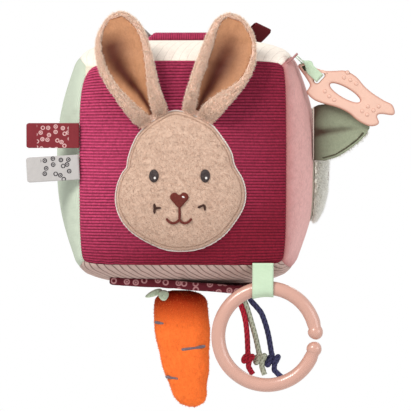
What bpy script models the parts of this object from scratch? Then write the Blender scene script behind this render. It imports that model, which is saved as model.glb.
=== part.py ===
# Soft fabric activity block: six sewn fabric panels over a two-part foam core with a rattle inside, a rabbit
# head applique with two standing ears, ribbon tags, a strap on top, a flat teether, a hanging ring, three
# knotted cords and a plush carrot. Metres, +Z up, front towards -Y.
# The model is laid out round the block's own centre; its root stands so that the middle of the strap's
# underside, which holds the block up, is the origin.

import math

import bmesh
import bpy
import numpy as np

# Clearances
GAP = 0.0003
LAYER_GAP = 0.0004
MARK_GAP = 0.0005
EXIT_GAP = 0.0004

# Block
BLOCK_WIDTH = 0.1240
BLOCK_DEPTH = 0.1230
BLOCK_HEIGHT = 0.1230
SIDE_CROWN = 0.0178
END_CROWN = 0.0130
FACE_CROWN = 0.0070
CORNER_ROUNDING = 0.0018
PANEL_THICKNESS = 0.0020
PANEL_CELL_COUNT = 10
CORE_CELL_COUNT = 6
CROWN_FALL_POWER = 6
CORNER_POWER = 8
EDGE_CROWDING_SHARE = 0.3
# How far each seam holds its panel's crown down: rows are the crowned panel's axis, columns the seam's axis
SEAM_HOLD_SHARES = ((0.0, 0.95, 0.80), (0.9, 0.0, 0.9), (0.70, 0.95, 0.0))
SEAM_HOLD_POWERS = ((0.0, 3.2, 2.4), (3.2, 0.0, 3.2), (6.0, 3.2, 0.0))

# Rattle in the core
RATTLE_RADIUS = 0.0165
RATTLE_WALL = 0.0015
RATTLE_CLEARANCE = 0.0005
BEAD_RADIUS = 0.0030
BEAD_COUNT = 3

# Rabbit head on the front
HEAD_WIDTH = 0.0787
HEAD_HEIGHT = 0.0850
HEAD_ACROSS = -0.0004
HEAD_UP = -0.0106
HEAD_RIM = 0.0022
HEAD_CROWN = 0.0055
HEAD_BACKING = 0.0010
HEAD_EDGING = 0.0011
HEAD_CELL_COUNT = 40
HEAD_OUTLINE_SHARES = (
    (-0.021, 0.500), (0.211, 0.416), (0.318, 0.310), (0.389, 0.203), (0.414, 0.112), (0.476, 0.013),
    (0.500, -0.086), (0.484, -0.184), (0.418, -0.291), (0.318, -0.398), (0.178, -0.474), (0.029, -0.500),
    (-0.120, -0.489), (-0.260, -0.435), (-0.376, -0.367), (-0.459, -0.275), (-0.500, -0.162),
    (-0.492, -0.048), (-0.450, 0.051), (-0.413, 0.096), (-0.401, 0.165), (-0.360, 0.272),
    (-0.302, 0.356), (-0.170, 0.450),
)
RING_SHARES = (0.34, 0.64, 0.86, 1.0)
CROWN_EDGE_POWER = 3

# Rabbit face
EYE_WIDTH = 0.0058
EYE_HEIGHT = 0.0078
EYE_THICKNESS = 0.0008
LEFT_EYE_ACROSS = -0.0163
RIGHT_EYE_ACROSS = 0.0143
EYE_UP = -0.0074
NOSE_WIDTH = 0.0111
NOSE_HEIGHT = 0.0091
NOSE_ACROSS = -0.0011
NOSE_UP = -0.0219
NOSE_THICKNESS = 0.0009
HEART_SHARES = (
    (0.0, -0.5), (0.28, -0.2), (0.5, 0.15), (0.42, 0.42), (0.2, 0.5), (0.0, 0.34),
    (-0.2, 0.5), (-0.42, 0.42), (-0.5, 0.15), (-0.28, -0.2),
)
MOUTH_WIDTH = 0.0150
MOUTH_HEIGHT = 0.0088
MOUTH_LINE = 0.0012
MOUTH_THICKNESS = 0.0008
SMILE_SHARES = ((-0.52, -0.74), (-0.28, -1.0), (0.0, -0.8), (0.24, -1.0), (0.48, -0.74))

# Rabbit ears
EAR_PLUSH = 0.0032
EAR_FILM = 0.0002
EAR_LINING = 0.0010
EAR_LINING_SHARE = 0.80
EAR_LINING_RUN_SHARES = (0.03, 0.95)
EAR_FILM_SHARE = 0.70
EAR_FILM_RUN_SHARES = (0.08, 0.9)
EAR_WIDTH = 0.0345
EAR_ALONG_COUNT = 13
EAR_ACROSS_COUNT = 8
EAR_WIDTH_SHARES = ((0.0, 0.52), (0.12, 0.72), (0.3, 0.93), (0.48, 1.0), (0.66, 0.98), (0.8, 0.86),
                    (0.9, 0.67), (0.96, 0.46), (1.0, 0.2))
EAR_CUP_DEGREES = ((0.0, 12.0), (0.15, 30.0), (0.35, 46.0), (0.6, 36.0), (1.0, 24.0))
LEFT_EAR_BASE_ACROSS = -0.0186
LEFT_EAR_BASE_UP = 0.0290
LEFT_EAR_TIP_ACROSS = -0.0384
LEFT_EAR_TIP_UP = 0.0900
LEFT_EAR_BOW = -0.0047
RIGHT_EAR_BASE_ACROSS = 0.0100
RIGHT_EAR_BASE_UP = 0.0312
RIGHT_EAR_TIP_ACROSS = 0.0300
RIGHT_EAR_TIP_UP = 0.0890
RIGHT_EAR_BOW = 0.0061

# Folded ribbon tags on the left seam
TAG_WIDTH = 0.0150
TAG_LENGTH = 0.0318
TAG_RIBBON = 0.0005
TAG_FOLD = 0.0008
TAG_FORWARD = 0.0008
RED_TAG_UP = 0.0165
GREY_TAG_UP = -0.0024
GREY_TAG_TILT_DEGREES = 3.5

# Strap on top
STRAP_LENGTH = 0.0720
STRAP_ACROSS = 0.0060
STRAP_WIDTH = 0.0200
STRAP_BACK = 0.0440
STRAP_THICKNESS = 0.0035
STRAP_UNDERSIDE_UP = 0.0772
STRAP_FOOT = 0.0070
STRAP_FLAT = 0.0280
STRAP_CELL_COUNT = 26

# Tags at the strap's ends
GREY_TOP_TAG_LENGTH = 0.0170
GREY_TOP_TAG_INWARD = 0.0004
GREY_TOP_TAG_LIFT = 0.00565
GREY_TOP_TAG_SLANT_DEGREES = 44.0
RED_TOP_TAG_LENGTH = 0.0202
RED_TOP_TAG_INWARD = 0.00775
RED_TOP_TAG_LIFT = 0.0065
RED_TOP_TAG_BACK = 0.0491
RED_TOP_TAG_RUN_SHARES = (0.686, -0.343, 0.642)
RED_TOP_TAG_EDGE_SHARES = (0.649, 0.687, -0.327)

# Head on the right panel
SIDE_HEAD_WIDTH = 0.0620
SIDE_HEAD_HEIGHT = 0.0680
SIDE_HEAD_ACROSS = 0.0
SIDE_HEAD_UP = -0.0020
SIDE_HEAD_RIM = 0.0020
SIDE_HEAD_CROWN = 0.0026
SIDE_BACKING = 0.0010
SIDE_EDGING = 0.0012
SIDE_CELL_COUNT = 32
SIDE_OUTLINE_SHARES = ((0.0, 0.5), (0.25, 0.46), (0.42, 0.3), (0.49, 0.06), (0.5, -0.14), (0.42, -0.34),
                       (0.24, -0.47), (0.0, -0.5), (-0.24, -0.47), (-0.42, -0.34), (-0.5, -0.14),
                       (-0.49, 0.06), (-0.42, 0.3), (-0.25, 0.46))
SIDE_EYE_SIZE = 0.0060
SIDE_EYE_SPREAD = 0.0270
SIDE_EYE_UP = 0.0040
SIDE_NOSE_WIDTH = 0.0100
SIDE_NOSE_HEIGHT = 0.0070
SIDE_NOSE_UP = -0.0090

# Satin ears of the head on the right panel
SIDE_EAR_BACK = 0.0350
SIDE_EAR_ROOT_GAP = 0.0005
SIDE_EAR_REACH = 0.0345
SIDE_EAR_PLUSH = 0.0026
SIDE_EAR_SATIN = 0.0012
SIDE_EAR_SATIN_SHARE = 0.95
SIDE_EAR_SATIN_START_SHARE = 0.06
SIDE_EAR_MIDDLE_UP = 0.0178
SIDE_EAR_SPAN = 0.0340
SIDE_EAR_RISE = 0.0035
SIDE_EAR_CELL_COUNT = 12
SIDE_EAR_WIDTH_SHARES = ((0.0, 0.94), (0.2, 1.0), (0.45, 0.95), (0.7, 0.78), (0.87, 0.54), (1.0, 0.22))

# Teether and its ribbon
TEETHER_THICKNESS = 0.0058
TEETHER_ROUNDING = 0.0015
TEETHER_EAR_GAP = 0.0005
TEETHER_WIDTH = 0.0586
TEETHER_HEIGHT = 0.0380
TEETHER_OUTWARD = 0.0364
TEETHER_UP = 0.0413
TEETHER_OUTLINE_SHARES = (
    (-0.500, 0.455), (-0.442, 0.500), (-0.390, 0.490), (-0.315, 0.425), (-0.220, 0.378), (-0.105, 0.378),
    (-0.025, 0.382), (0.052, 0.335), (0.115, 0.262), (0.188, 0.130), (0.272, 0.020), (0.385, -0.092),
    (0.470, -0.160), (0.500, -0.270), (0.478, -0.330), (0.360, -0.312), (0.318, -0.345), (0.338, -0.450),
    (0.300, -0.500), (0.226, -0.500), (0.120, -0.420), (0.026, -0.300), (-0.090, -0.210), (-0.250, -0.140),
    (-0.340, -0.080), (-0.410, 0.030), (-0.388, 0.105), (-0.378, 0.160), (-0.424, 0.280),
)
TEETHER_POINT_COUNT = 58
TEETHER_HOLE_LENGTH = 0.0208
TEETHER_HOLE_WIDTH = 0.0072
TEETHER_HOLE_OUTWARD = 0.0356
TEETHER_HOLE_UP = 0.0423
TEETHER_HOLE_TURN_DEGREES = -30.0
TEETHER_HOLE_COUNT = 18
RIBBON_ROOT_OUTWARD = 0.0056
RIBBON_ROOT_UP = 0.0649
SLOT_OUTWARD = 0.0200
SLOT_UP = 0.0513
SLOT_LENGTH = 0.0076
SLOT_WIDTH = 0.0034
TEETHER_RIBBON_WIDTH = 0.0060
TEETHER_RIBBON_THICKNESS = 0.0006
TEETHER_RIBBON_CLEARANCE = 0.0005
TEETHER_RIBBON_OPEN_SHARE = 0.28
RIBBON_RUN_COUNT = 12
RIBBON_TURN_COUNT = 6

# Hanging ring and its ribbon
RING_RADIUS = 0.0292
RING_TUBE_RADIUS = 0.0042
RING_BALL_RADIUS = 0.0046
RING_ACROSS = 0.0508
RING_UP = -0.1042
RING_BACK = -0.0634
RING_GAP_DEGREES = -4.5
RING_BALL_GAP = 0.0012
RING_CELL_COUNT = 44
RING_SIDE_COUNT = 10
RING_RIBBON_ACROSS = 0.0484
RING_RIBBON_WIDTH = 0.0126
RING_RIBBON_THICKNESS = 0.0006
RING_RIBBON_CLEARANCE = 0.0006
RING_RIBBON_RISE_SHARES = (0.3, 0.6, 0.85, 1.0)
RING_RIBBON_FOLD = 0.0007
RING_RIBBON_ROOT_UP = -0.0606
RING_RIBBON_ACROSS_COUNT = 4

# Pocket under the block
POCKET_LEFT = -0.0450
POCKET_RIGHT = 0.0400
POCKET_FRONT = -0.0430
POCKET_REAR = 0.0380
POCKET_THICKNESS = 0.0016
POCKET_SAG = 0.0044
POCKET_MOUTH = 0.0011
POCKET_CELL_COUNT = 8
HEM_HEIGHT = 0.0050
HEM_DEPTH = 0.0026
HEM_SIDE_COUNT = 8
HEM_CELL_COUNT = 14
HEM_END_POWER = 12
HEM_END_SHARE = 0.55

# Carrot
CARROT_LENGTH = 0.0665
CARROT_WIDTH = 0.0346
CARROT_DEPTH = 0.0190
CARROT_ACROSS = -0.0013
CARROT_BACK = -0.0250
CARROT_TOP_DROP = 0.0018
CARROT_BEND = 0.0062
CARROT_BEND_POWER = 2.5
CARROT_SIDE_COUNT = 16
CARROT_SHARES = ((0.0, 0.16), (0.03, 0.46), (0.09, 0.76), (0.2, 0.98), (0.34, 1.0), (0.5, 0.92), (0.66, 0.81),
                 (0.8, 0.66), (0.9, 0.5), (0.96, 0.35), (0.99, 0.2), (1.0, 0.07))
TETHER_WIDTH = 0.0080
TETHER_THICKNESS = 0.0008
TETHER_GAP = 0.0007
LEAF_THICKNESS = 0.0012
LEAF_FORWARD = 0.0062
LEAF_LENGTH = 0.0130
LEAF_WIDTH = 0.0048
LEAF_TAPER_SHARE = 0.35
LEAF_ROOT_ACROSS = -0.0105
LEAF_DROP = 0.0030
LEAF_TURN_DEGREES = (196.0, 262.0)
LEAF_CELL_COUNT = 12

# Cords under the pocket: each route runs from its exit down to its knot, chosen by hand round the block's centre
CORD_DIAMETER = 0.0030
CORD_POINT_COUNT = 9
CORD_ROUTES = {
    "red": ((0.0322, -0.0365, -0.0788), (0.0329, -0.0365, -0.0838), (0.0352, -0.0376, -0.0893),
            (0.0371, -0.0388, -0.0960), (0.0382, -0.0394, -0.1050), (0.0387, -0.0395, -0.1165)),
    "sage": ((0.0356, -0.0365, -0.0788), (0.0363, -0.0365, -0.0838), (0.0384, -0.0364, -0.0898),
             (0.0410, -0.0363, -0.0985), (0.0436, -0.0361, -0.1080), (0.0455, -0.0360, -0.1168)),
    "navy": ((0.0388, -0.0365, -0.0788), (0.0399, -0.0365, -0.0833), (0.0426, -0.0362, -0.0869),
             (0.0461, -0.0358, -0.0908), (0.0489, -0.0354, -0.0975), (0.0512, -0.0350, -0.1060),
             (0.0531, -0.0346, -0.1173)),
}
CORD_SWING_DROP = 0.0030
KNOT_RADII = {"red": 0.0031, "sage": 0.0034, "navy": 0.0041}
KNOT_LEAN = {"red": 0.0026, "sage": 0.0010, "navy": 0.0036}
KNOT_ROUND_POWER = 0.7
TAIL_LENGTH = 0.0062
TAIL_LEAN_POWER = 1.5
KNOT_SIDE_COUNT = 10

# Colours (linear) and roughness
COLOURS = {
    "corduroy_raspberry": (0.36, 0.025, 0.085),
    "jersey_sage": (0.64, 0.70, 0.56),
    "velour_pink": (0.62, 0.33, 0.33),
    "corduroy_cream": (0.86, 0.78, 0.70),
    "plush_beige": (0.72, 0.50, 0.37),
    "felt_cream": (0.88, 0.80, 0.72),
    "thread_dark": (0.08, 0.06, 0.06),
    "thread_brown": (0.16, 0.03, 0.02),
    "satin_peach": (0.66, 0.38, 0.22),
    "film_clear": (0.80, 0.80, 0.80),
    "ribbon_red": (0.22, 0.025, 0.035),
    "ribbon_grey": (0.56, 0.58, 0.55),
    "ribbon_mint": (0.55, 0.76, 0.56),
    "silicone_peach": (0.86, 0.60, 0.46),
    "plastic_peach": (0.72, 0.38, 0.30),
    "fluff_pale": (0.62, 0.62, 0.50),
    "satin_sage": (0.36, 0.42, 0.30),
    "cotton_print_red": (0.20, 0.03, 0.035),
    "velour_orange": (0.90, 0.17, 0.02),
    "felt_leaf": (0.62, 0.74, 0.52),
    "cord_red": (0.36, 0.01, 0.03),
    "cord_sage": (0.44, 0.46, 0.33),
    "cord_navy": (0.03, 0.03, 0.09),
    "foam": (0.85, 0.83, 0.75),
    "rattle_plastic": (0.75, 0.75, 0.78),
    "bead_plastic": (0.70, 0.30, 0.10),
}
SOFT_ROUGHNESS = 0.9
SMOOTH_ROUGHNESS = 0.35
SMOOTH_FINISHES = ("silicone_peach", "plastic_peach", "rattle_plastic", "bead_plastic", "film_clear")
SMOOTH_ANGLE_DEGREES = 40.0
WELD = 0.000001

# In-plane axes and outward axis of each face that carries something: (across, up, out, outward sign)
FRONT_FACE = (0, 2, 1, -1)
RIGHT_FACE = (1, 2, 0, 1)
TOP_FACE = (0, 1, 2, 1)
BOTTOM_FACE = (0, 1, 2, -1)

HALF_SIZES = np.array((BLOCK_WIDTH, BLOCK_DEPTH, BLOCK_HEIGHT)) / 2
TEETHER_ACROSS = BLOCK_WIDTH / 2 + TEETHER_OUTWARD
TEETHER_HOLE_ACROSS = BLOCK_WIDTH / 2 + TEETHER_HOLE_OUTWARD
RIBBON_ROOT_ACROSS = BLOCK_WIDTH / 2 + RIBBON_ROOT_OUTWARD
SLOT_ACROSS = BLOCK_WIDTH / 2 + SLOT_OUTWARD
CROWNS = np.array((SIDE_CROWN, FACE_CROWN, END_CROWN))
HOLDS = np.array(SEAM_HOLD_SHARES)
HOLD_POWERS = np.array(SEAM_HOLD_POWERS)


# Scene helpers

def clear_scene():
    for thing in list(bpy.data.objects):
        bpy.data.objects.remove(thing, do_unlink=True)


def make_material(slot):
    finish = bpy.data.materials.get(slot) or bpy.data.materials.new(slot)
    finish.use_nodes = True
    shader = finish.node_tree.nodes["Principled BSDF"]
    shader.inputs["Base Color"].default_value = (*COLOURS[slot], 1.0)
    shader.inputs["Roughness"].default_value = SMOOTH_ROUGHNESS if slot in SMOOTH_FINISHES else SOFT_ROUGHNESS
    shader.inputs["Metallic"].default_value = 0.0
    finish.diffuse_color = (*COLOURS[slot], 1.0)
    return finish


def place(name, mesh, slot, origin):
    thing = bpy.data.objects.new(name, mesh)
    bpy.context.scene.collection.objects.link(thing)
    thing.parent = block_root
    thing.location = origin
    mesh.materials.append(make_material(slot))
    return thing


def solid(name, points, faces, slot, origin=(0.0, 0.0, 0.0)):
    """One closed body from points round the block's centre; its object's origin is at origin."""
    mesh = bpy.data.meshes.new(name)
    mesh.from_pydata((np.asarray(points) - np.asarray(origin)).tolist(), [], faces)
    work = bmesh.new()
    work.from_mesh(mesh)
    bmesh.ops.remove_doubles(work, verts=work.verts, dist=WELD)
    bmesh.ops.recalc_face_normals(work, faces=work.faces)
    work.to_mesh(mesh)
    work.free()
    mesh.shade_smooth()
    mesh.set_sharp_from_angle(angle=math.radians(SMOOTH_ANGLE_DEGREES))
    return place(name, mesh, slot, origin)


# Curves and profiles

def eased(share):
    share = np.clip(share, 0.0, 1.0)
    return share * share * (3 - 2 * share)


def table_value(table, share):
    places, values = np.array(table).T
    return np.interp(share, places, values)


def smooth_line(points, count, closed=False):
    """Points spaced evenly along a Catmull-Rom curve through the given points."""
    points = np.array(points, dtype=float)
    if closed:
        held = np.vstack((points[-1:], points, points[:2]))
    else:
        held = np.vstack((2 * points[:1] - points[1:2], points, 2 * points[-1:] - points[-2:-1]))
    fine = []
    share = np.linspace(0.0, 1.0, 16, endpoint=False)[:, None]
    for before, start, end, after in zip(held, held[1:], held[2:], held[3:]):
        fine.append(0.5 * (2 * start + (end - before) * share
                           + (2 * before - 5 * start + 4 * end - after) * share ** 2
                           + (3 * start - before - 3 * end + after) * share ** 3))
    fine = np.vstack(fine + [points[:1] if closed else points[-1:]])
    run = np.concatenate(([0.0], np.cumsum(np.linalg.norm(np.diff(fine, axis=0), axis=1))))
    wanted = np.linspace(0.0, run[-1], count + 1 if closed else count)
    line = np.column_stack([np.interp(wanted, run, fine[:, axis]) for axis in range(fine.shape[1])])
    return line[:-1] if closed else line


def grid_faces(rows, columns, start=0, wrap=False):
    faces = []
    for row in range(rows - 1):
        for column in range(columns if wrap else columns - 1):
            after = (column + 1) % columns
            first = start + row * columns
            second = first + columns
            faces.append((first + column, first + after, second + after, second + column))
    return faces


def grid_solid(name, outer, inner, slot, origin=(0.0, 0.0, 0.0)):
    """A closed sheet between two grids of points of one shape."""
    rows, columns = outer.shape[:2]
    points = np.vstack((outer.reshape(-1, 3), inner.reshape(-1, 3)))
    below = rows * columns
    faces = grid_faces(rows, columns) + grid_faces(rows, columns, below)
    rim = ([(0, column) for column in range(columns)] + [(row, columns - 1) for row in range(1, rows)]
           + [(rows - 1, column) for column in range(columns - 2, -1, -1)]
           + [(row, 0) for row in range(rows - 2, 0, -1)])
    rim = [row * columns + column for row, column in rim]
    for here, after in zip(rim, rim[1:] + rim[:1]):
        faces.append((here, after, after + below, here + below))
    return solid(name, points, faces, slot, origin)


def ring_solid(name, rings, slot, origin=(0.0, 0.0, 0.0)):
    """A closed body through rings of points (rings, points, 3), with a flat cap at each end."""
    count, sides = rings.shape[:2]
    faces = grid_faces(count, sides, wrap=True)
    faces.append(tuple(range(sides)))
    faces.append(tuple(range((count - 1) * sides, count * sides)))
    return solid(name, rings.reshape(-1, 3), faces, slot, origin)


def strip_ring(name, inner, outer, slot, origin=(0.0, 0.0, 0.0)):
    """A closed loop of ribbon: inner and outer are (stations round the loop, points across, 3)."""
    stations, across = inner.shape[:2]
    cross = np.concatenate((outer, inner[:, ::-1]), axis=1)
    sides = 2 * across
    points = cross.reshape(-1, 3)
    faces = []
    for station in range(stations):
        after = (station + 1) % stations
        for side in range(sides):
            following = (side + 1) % sides
            faces.append((station * sides + side, station * sides + following,
                          after * sides + following, after * sides + side))
    return solid(name, points, faces, slot, origin)


def tube_rings(line, radii, sides, flat=(1.0, 1.0), side_axis=(0.0, 1.0, 0.0)):
    """Rings round a line; flat scales the section along side_axis and across it."""
    line = np.asarray(line, dtype=float)
    along = np.gradient(line, axis=0)
    along /= np.linalg.norm(along, axis=1)[:, None]
    first = np.asarray(side_axis) - along * (along @ np.asarray(side_axis))[:, None]
    first /= np.linalg.norm(first, axis=1)[:, None]
    second = np.cross(along, first)
    turn = np.linspace(0.0, 2 * math.pi, sides, endpoint=False)
    radii = np.broadcast_to(radii, len(line))[:, None, None]
    return (line[:, None] + radii * (flat[0] * np.cos(turn)[None, :, None] * first[:, None]
                                     + flat[1] * np.sin(turn)[None, :, None] * second[:, None]))


# The block's puffed surface

def block_point(share, inset=0.0):
    """Point of the puffed block for a point of the unit cube: each face crowns out between its seams."""
    share = np.asarray(share, dtype=float)
    size = np.abs(share)
    side = np.sign(share)
    point = np.empty_like(share)
    corner = (size[..., 0] * size[..., 1] * size[..., 2]) ** CORNER_POWER
    for axis in range(3):
        crown = CROWNS[axis] * size[..., axis] ** CROWN_FALL_POWER
        for other in range(3):
            if other != axis:
                crown = crown * (1 - HOLDS[axis, other] * size[..., other] ** HOLD_POWERS[axis, other])
        point[..., axis] = share[..., axis] * (HALF_SIZES[axis] - inset)
        point[..., axis] += side[..., axis] * (crown - CORNER_ROUNDING * corner)
    return point


def face_share(face, across, up, out=1.0):
    across, up = np.broadcast_arrays(across, up)
    share = np.empty(across.shape + (3,))
    share[..., face[0]] = across
    share[..., face[1]] = up
    share[..., face[2]] = out * face[3]
    return share


def skin(face, across, up):
    """How far out the face's outer surface lies at an in-plane place."""
    across, up = np.broadcast_arrays(np.asarray(across, dtype=float), np.asarray(up, dtype=float))
    here = across / HALF_SIZES[face[0]]
    there = up / HALF_SIZES[face[1]]
    for _ in range(12):
        point = block_point(face_share(face, here, there))
        here = np.clip(here + (across - point[..., face[0]]) / HALF_SIZES[face[0]], -1, 1)
        there = np.clip(there + (up - point[..., face[1]]) / HALF_SIZES[face[1]], -1, 1)
    return block_point(face_share(face, here, there))[..., face[2]] * face[3]


def on_face(face, across, up, out):
    across, up, out = np.broadcast_arrays(across, up, out)
    point = np.empty(across.shape + (3,))
    point[..., face[0]] = across
    point[..., face[1]] = up
    point[..., face[2]] = out * face[3]
    return point


def crowded(count, reach):
    even = np.linspace(-1.0, 1.0, count + 1)
    return reach * even * (1 + EDGE_CROWDING_SHARE - EDGE_CROWDING_SHARE * even ** 2)


def panel(name, face, slot):
    across = crowded(PANEL_CELL_COUNT, 1 - GAP / BLOCK_WIDTH * math.sqrt(2))
    first, second = np.meshgrid(across, across, indexing="ij")
    share = face_share(face, first, second)
    grid_solid(name, block_point(share), block_point(share, PANEL_THICKNESS), slot)


def core_half(name, side):
    """Half of the foam core, in front of or behind the middle plane, with half the rattle's pocket."""
    steps = crowded(CORE_CELL_COUNT, 1.0)
    middle = GAP / BLOCK_DEPTH
    depths = np.linspace(middle, 1.0, CORE_CELL_COUNT // 2 + 1) * side
    points, faces = [], []
    for axis, end in ((0, -1), (0, 1), (2, -1), (2, 1), (1, side), (1, middle * side)):
        one, two = (other for other in range(3) if other != axis)
        first = depths if one == 1 else steps
        second = depths if two == 1 else steps
        share = np.empty((len(first), len(second), 3))
        share[..., axis] = end
        share[..., one], share[..., two] = np.meshgrid(first, second, indexing="ij")
        faces += grid_faces(len(first), len(second), start=sum(len(part) for part in points))
        points.append(block_point(share, PANEL_THICKNESS + LAYER_GAP).reshape(-1, 3))
    half = solid(name, np.vstack(points), faces, "foam")
    cut = half.modifiers.new("rattle_pocket", "BOOLEAN")
    cut.operation = "DIFFERENCE"
    cut.object = rattle_cutter
    return half


def ball(name, centre, radius, slot, around, along):
    mesh = bpy.data.meshes.new(name)
    work = bmesh.new()
    bmesh.ops.create_uvsphere(work, u_segments=around, v_segments=along, radius=radius)
    work.to_mesh(mesh)
    work.free()
    mesh.shade_smooth()
    return place(name, mesh, slot, centre)


def rattle_shell(name, side):
    """Half of the rattle capsule: a turned cup whose open side faces the middle plane."""
    outer = RATTLE_RADIUS
    inner = RATTLE_RADIUS - RATTLE_WALL
    steps = np.linspace(0.0, math.pi / 2, 7)
    profile = [(outer * math.sin(step), outer * math.cos(step)) for step in steps[1:-1]]
    profile += [(outer, GAP / 2), (inner, GAP / 2)]
    profile += [(inner * math.sin(step), inner * math.cos(step)) for step in steps[-2:0:-1]]
    turn = np.linspace(0.0, 2 * math.pi, 20, endpoint=False)
    rings = np.array([[(r * math.cos(a), side * y, r * math.sin(a)) for a in turn] for r, y in profile])
    points = np.vstack((rings.reshape(-1, 3), [(0.0, side * outer, 0.0), (0.0, side * inner, 0.0)]))
    faces = grid_faces(len(profile), len(turn), wrap=True)
    last = (len(profile) - 1) * len(turn)
    tip = len(points) - 2
    for step in range(len(turn)):
        after = (step + 1) % len(turn)
        faces.append((tip, step, after))
        faces.append((tip + 1, last + step, last + after))
    solid(name, points, faces, "rattle_plastic")


# Padded patches on the faces

def grown(loop, middle, extra):
    reach = loop - middle
    return middle + reach * (1 + extra / np.linalg.norm(reach, axis=1))[:, None]


def reach_share(loop, middle, across, up):
    """How far out a place lies between the middle, 0, and the outline, 1."""
    turns = np.arctan2(loop[:, 1] - middle[1], loop[:, 0] - middle[0])
    order = np.argsort(turns)
    reaches = np.linalg.norm(loop - middle, axis=1)[order]
    here = np.arctan2(up - middle[1], across - middle[0])
    edge = np.interp(here, turns[order], reaches, period=2 * math.pi)
    return np.clip(np.hypot(across - middle[0], up - middle[1]) / edge, 0.0, 1.0)


def patch(name, face, loop, middle, under, rim, crown, slot, clearance=GAP):
    """A padded patch on the surface under(across, up); returns the surface of its own front."""
    shares = np.array((0.0,) + RING_SHARES)
    places = middle + shares[1:, None, None] * (loop - middle)[None]
    places = np.vstack((np.asarray(middle)[None], places.reshape(-1, 2)))
    reach = np.concatenate(([0.0], np.repeat(shares[1:], len(loop))))
    back = under(places[:, 0], places[:, 1]) + clearance
    front = back + rim + crown * (1 - reach ** CROWN_EDGE_POWER)
    points = np.vstack((on_face(face, places[:, 0], places[:, 1], front),
                        on_face(face, places[:, 0], places[:, 1], back)))
    count = len(loop)
    faces = []
    for start in (0, len(places)):
        faces += [(start, start + 1 + step, start + 1 + (step + 1) % count) for step in range(count)]
        faces += grid_faces(len(RING_SHARES), count, start + 1, wrap=True)
    edge = len(places) - count
    for step in range(count):
        after = (step + 1) % count
        faces.append((edge + step, edge + after, len(places) + edge + after, len(places) + edge + step))
    solid(name, points, faces, slot)

    def front_surface(across, up):
        share = reach_share(loop, middle, across, up)
        return under(across, up) + clearance + rim + crown * (1 - share ** CROWN_EDGE_POWER)
    return front_surface


def outline(shares, width, height, across, up, count):
    scale = np.array((width, height))
    return smooth_line(np.array(shares) * scale + (across, up), count, closed=True)


def ellipse(width, height, across, up, count):
    turn = np.linspace(0.0, 2 * math.pi, count, endpoint=False)
    return np.column_stack((across + width / 2 * np.cos(turn), up + height / 2 * np.sin(turn)))


def rabbit_head():
    middle = np.array((HEAD_ACROSS, HEAD_UP))
    loop = outline(HEAD_OUTLINE_SHARES, HEAD_WIDTH, HEAD_HEIGHT, HEAD_ACROSS, HEAD_UP, HEAD_CELL_COUNT)

    def panel_front(across, up):
        return skin(FRONT_FACE, across, up)
    backing_front = patch("rabbit_head_backing", FRONT_FACE, grown(loop, middle, HEAD_EDGING), middle,
                          panel_front, HEAD_BACKING, 0.0, "felt_cream")
    head_front = patch("rabbit_head", FRONT_FACE, loop, middle, backing_front, HEAD_RIM, HEAD_CROWN, "plush_beige")
    for name, across in (("left_eye", LEFT_EYE_ACROSS), ("right_eye", RIGHT_EYE_ACROSS)):
        patch(name, FRONT_FACE, ellipse(EYE_WIDTH, EYE_HEIGHT, across, EYE_UP, 12), np.array((across, EYE_UP)),
              head_front, EYE_THICKNESS, 0.0, "thread_dark")
    nose = outline(HEART_SHARES, NOSE_WIDTH, NOSE_HEIGHT, NOSE_ACROSS, NOSE_UP, 16)
    patch("nose", FRONT_FACE, nose, np.array((NOSE_ACROSS, NOSE_UP)), head_front, NOSE_THICKNESS, 0.0,
          "thread_brown")
    mouth(head_front)


def mouth(head_front):
    """A smile line with the short line up to the nose, as one flat embroidered shape."""
    size = np.array((MOUTH_WIDTH, MOUTH_HEIGHT))
    top = NOSE_UP - NOSE_HEIGHT / 2 - LAYER_GAP
    line = smooth_line(np.array(SMILE_SHARES) * size + (NOSE_ACROSS, top), 13)
    along = np.gradient(line, axis=0)
    along /= np.linalg.norm(along, axis=1)[:, None]
    side = np.column_stack((-along[:, 1], along[:, 0])) * MOUTH_LINE / 2
    upper, lower = line + side, line - side
    middle = len(line) // 2
    stem = np.array(((NOSE_ACROSS - MOUTH_LINE / 2, top), (NOSE_ACROSS + MOUTH_LINE / 2, top)))
    left = np.vstack((upper[:middle], stem[:1]))
    right = np.vstack((stem[1:], upper[middle + 1:]))
    border = np.vstack((left, right, lower[::-1]))
    back = head_front(border[:, 0], border[:, 1]) + MARK_GAP
    points = np.vstack((on_face(FRONT_FACE, border[:, 0], border[:, 1], back + MOUTH_THICKNESS),
                        on_face(FRONT_FACE, border[:, 0], border[:, 1], back)))
    count = len(border)
    faces = []
    # Quads between the upper and the lower side of the line, and one for the stem
    last = count - 1
    pairs = [(step, last - step) for step in range(middle)] + [(step + 2, last - step - 1)
                                                               for step in range(middle, 2 * middle)]
    for (one, other), (after, beyond) in zip(pairs, pairs[1:]):
        if one == middle - 1:
            under = last - middle
            faces += [(one, other, under, beyond, after), (one, after, middle + 1, middle)]
        else:
            faces.append((one, other, beyond, after))
    faces += [tuple(corner + count for corner in face) for face in faces]
    for step in range(count):
        after = (step + 1) % count
        faces.append((step, after, after + count, step + count))
    solid("mouth", points, faces, "thread_brown")


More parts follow.
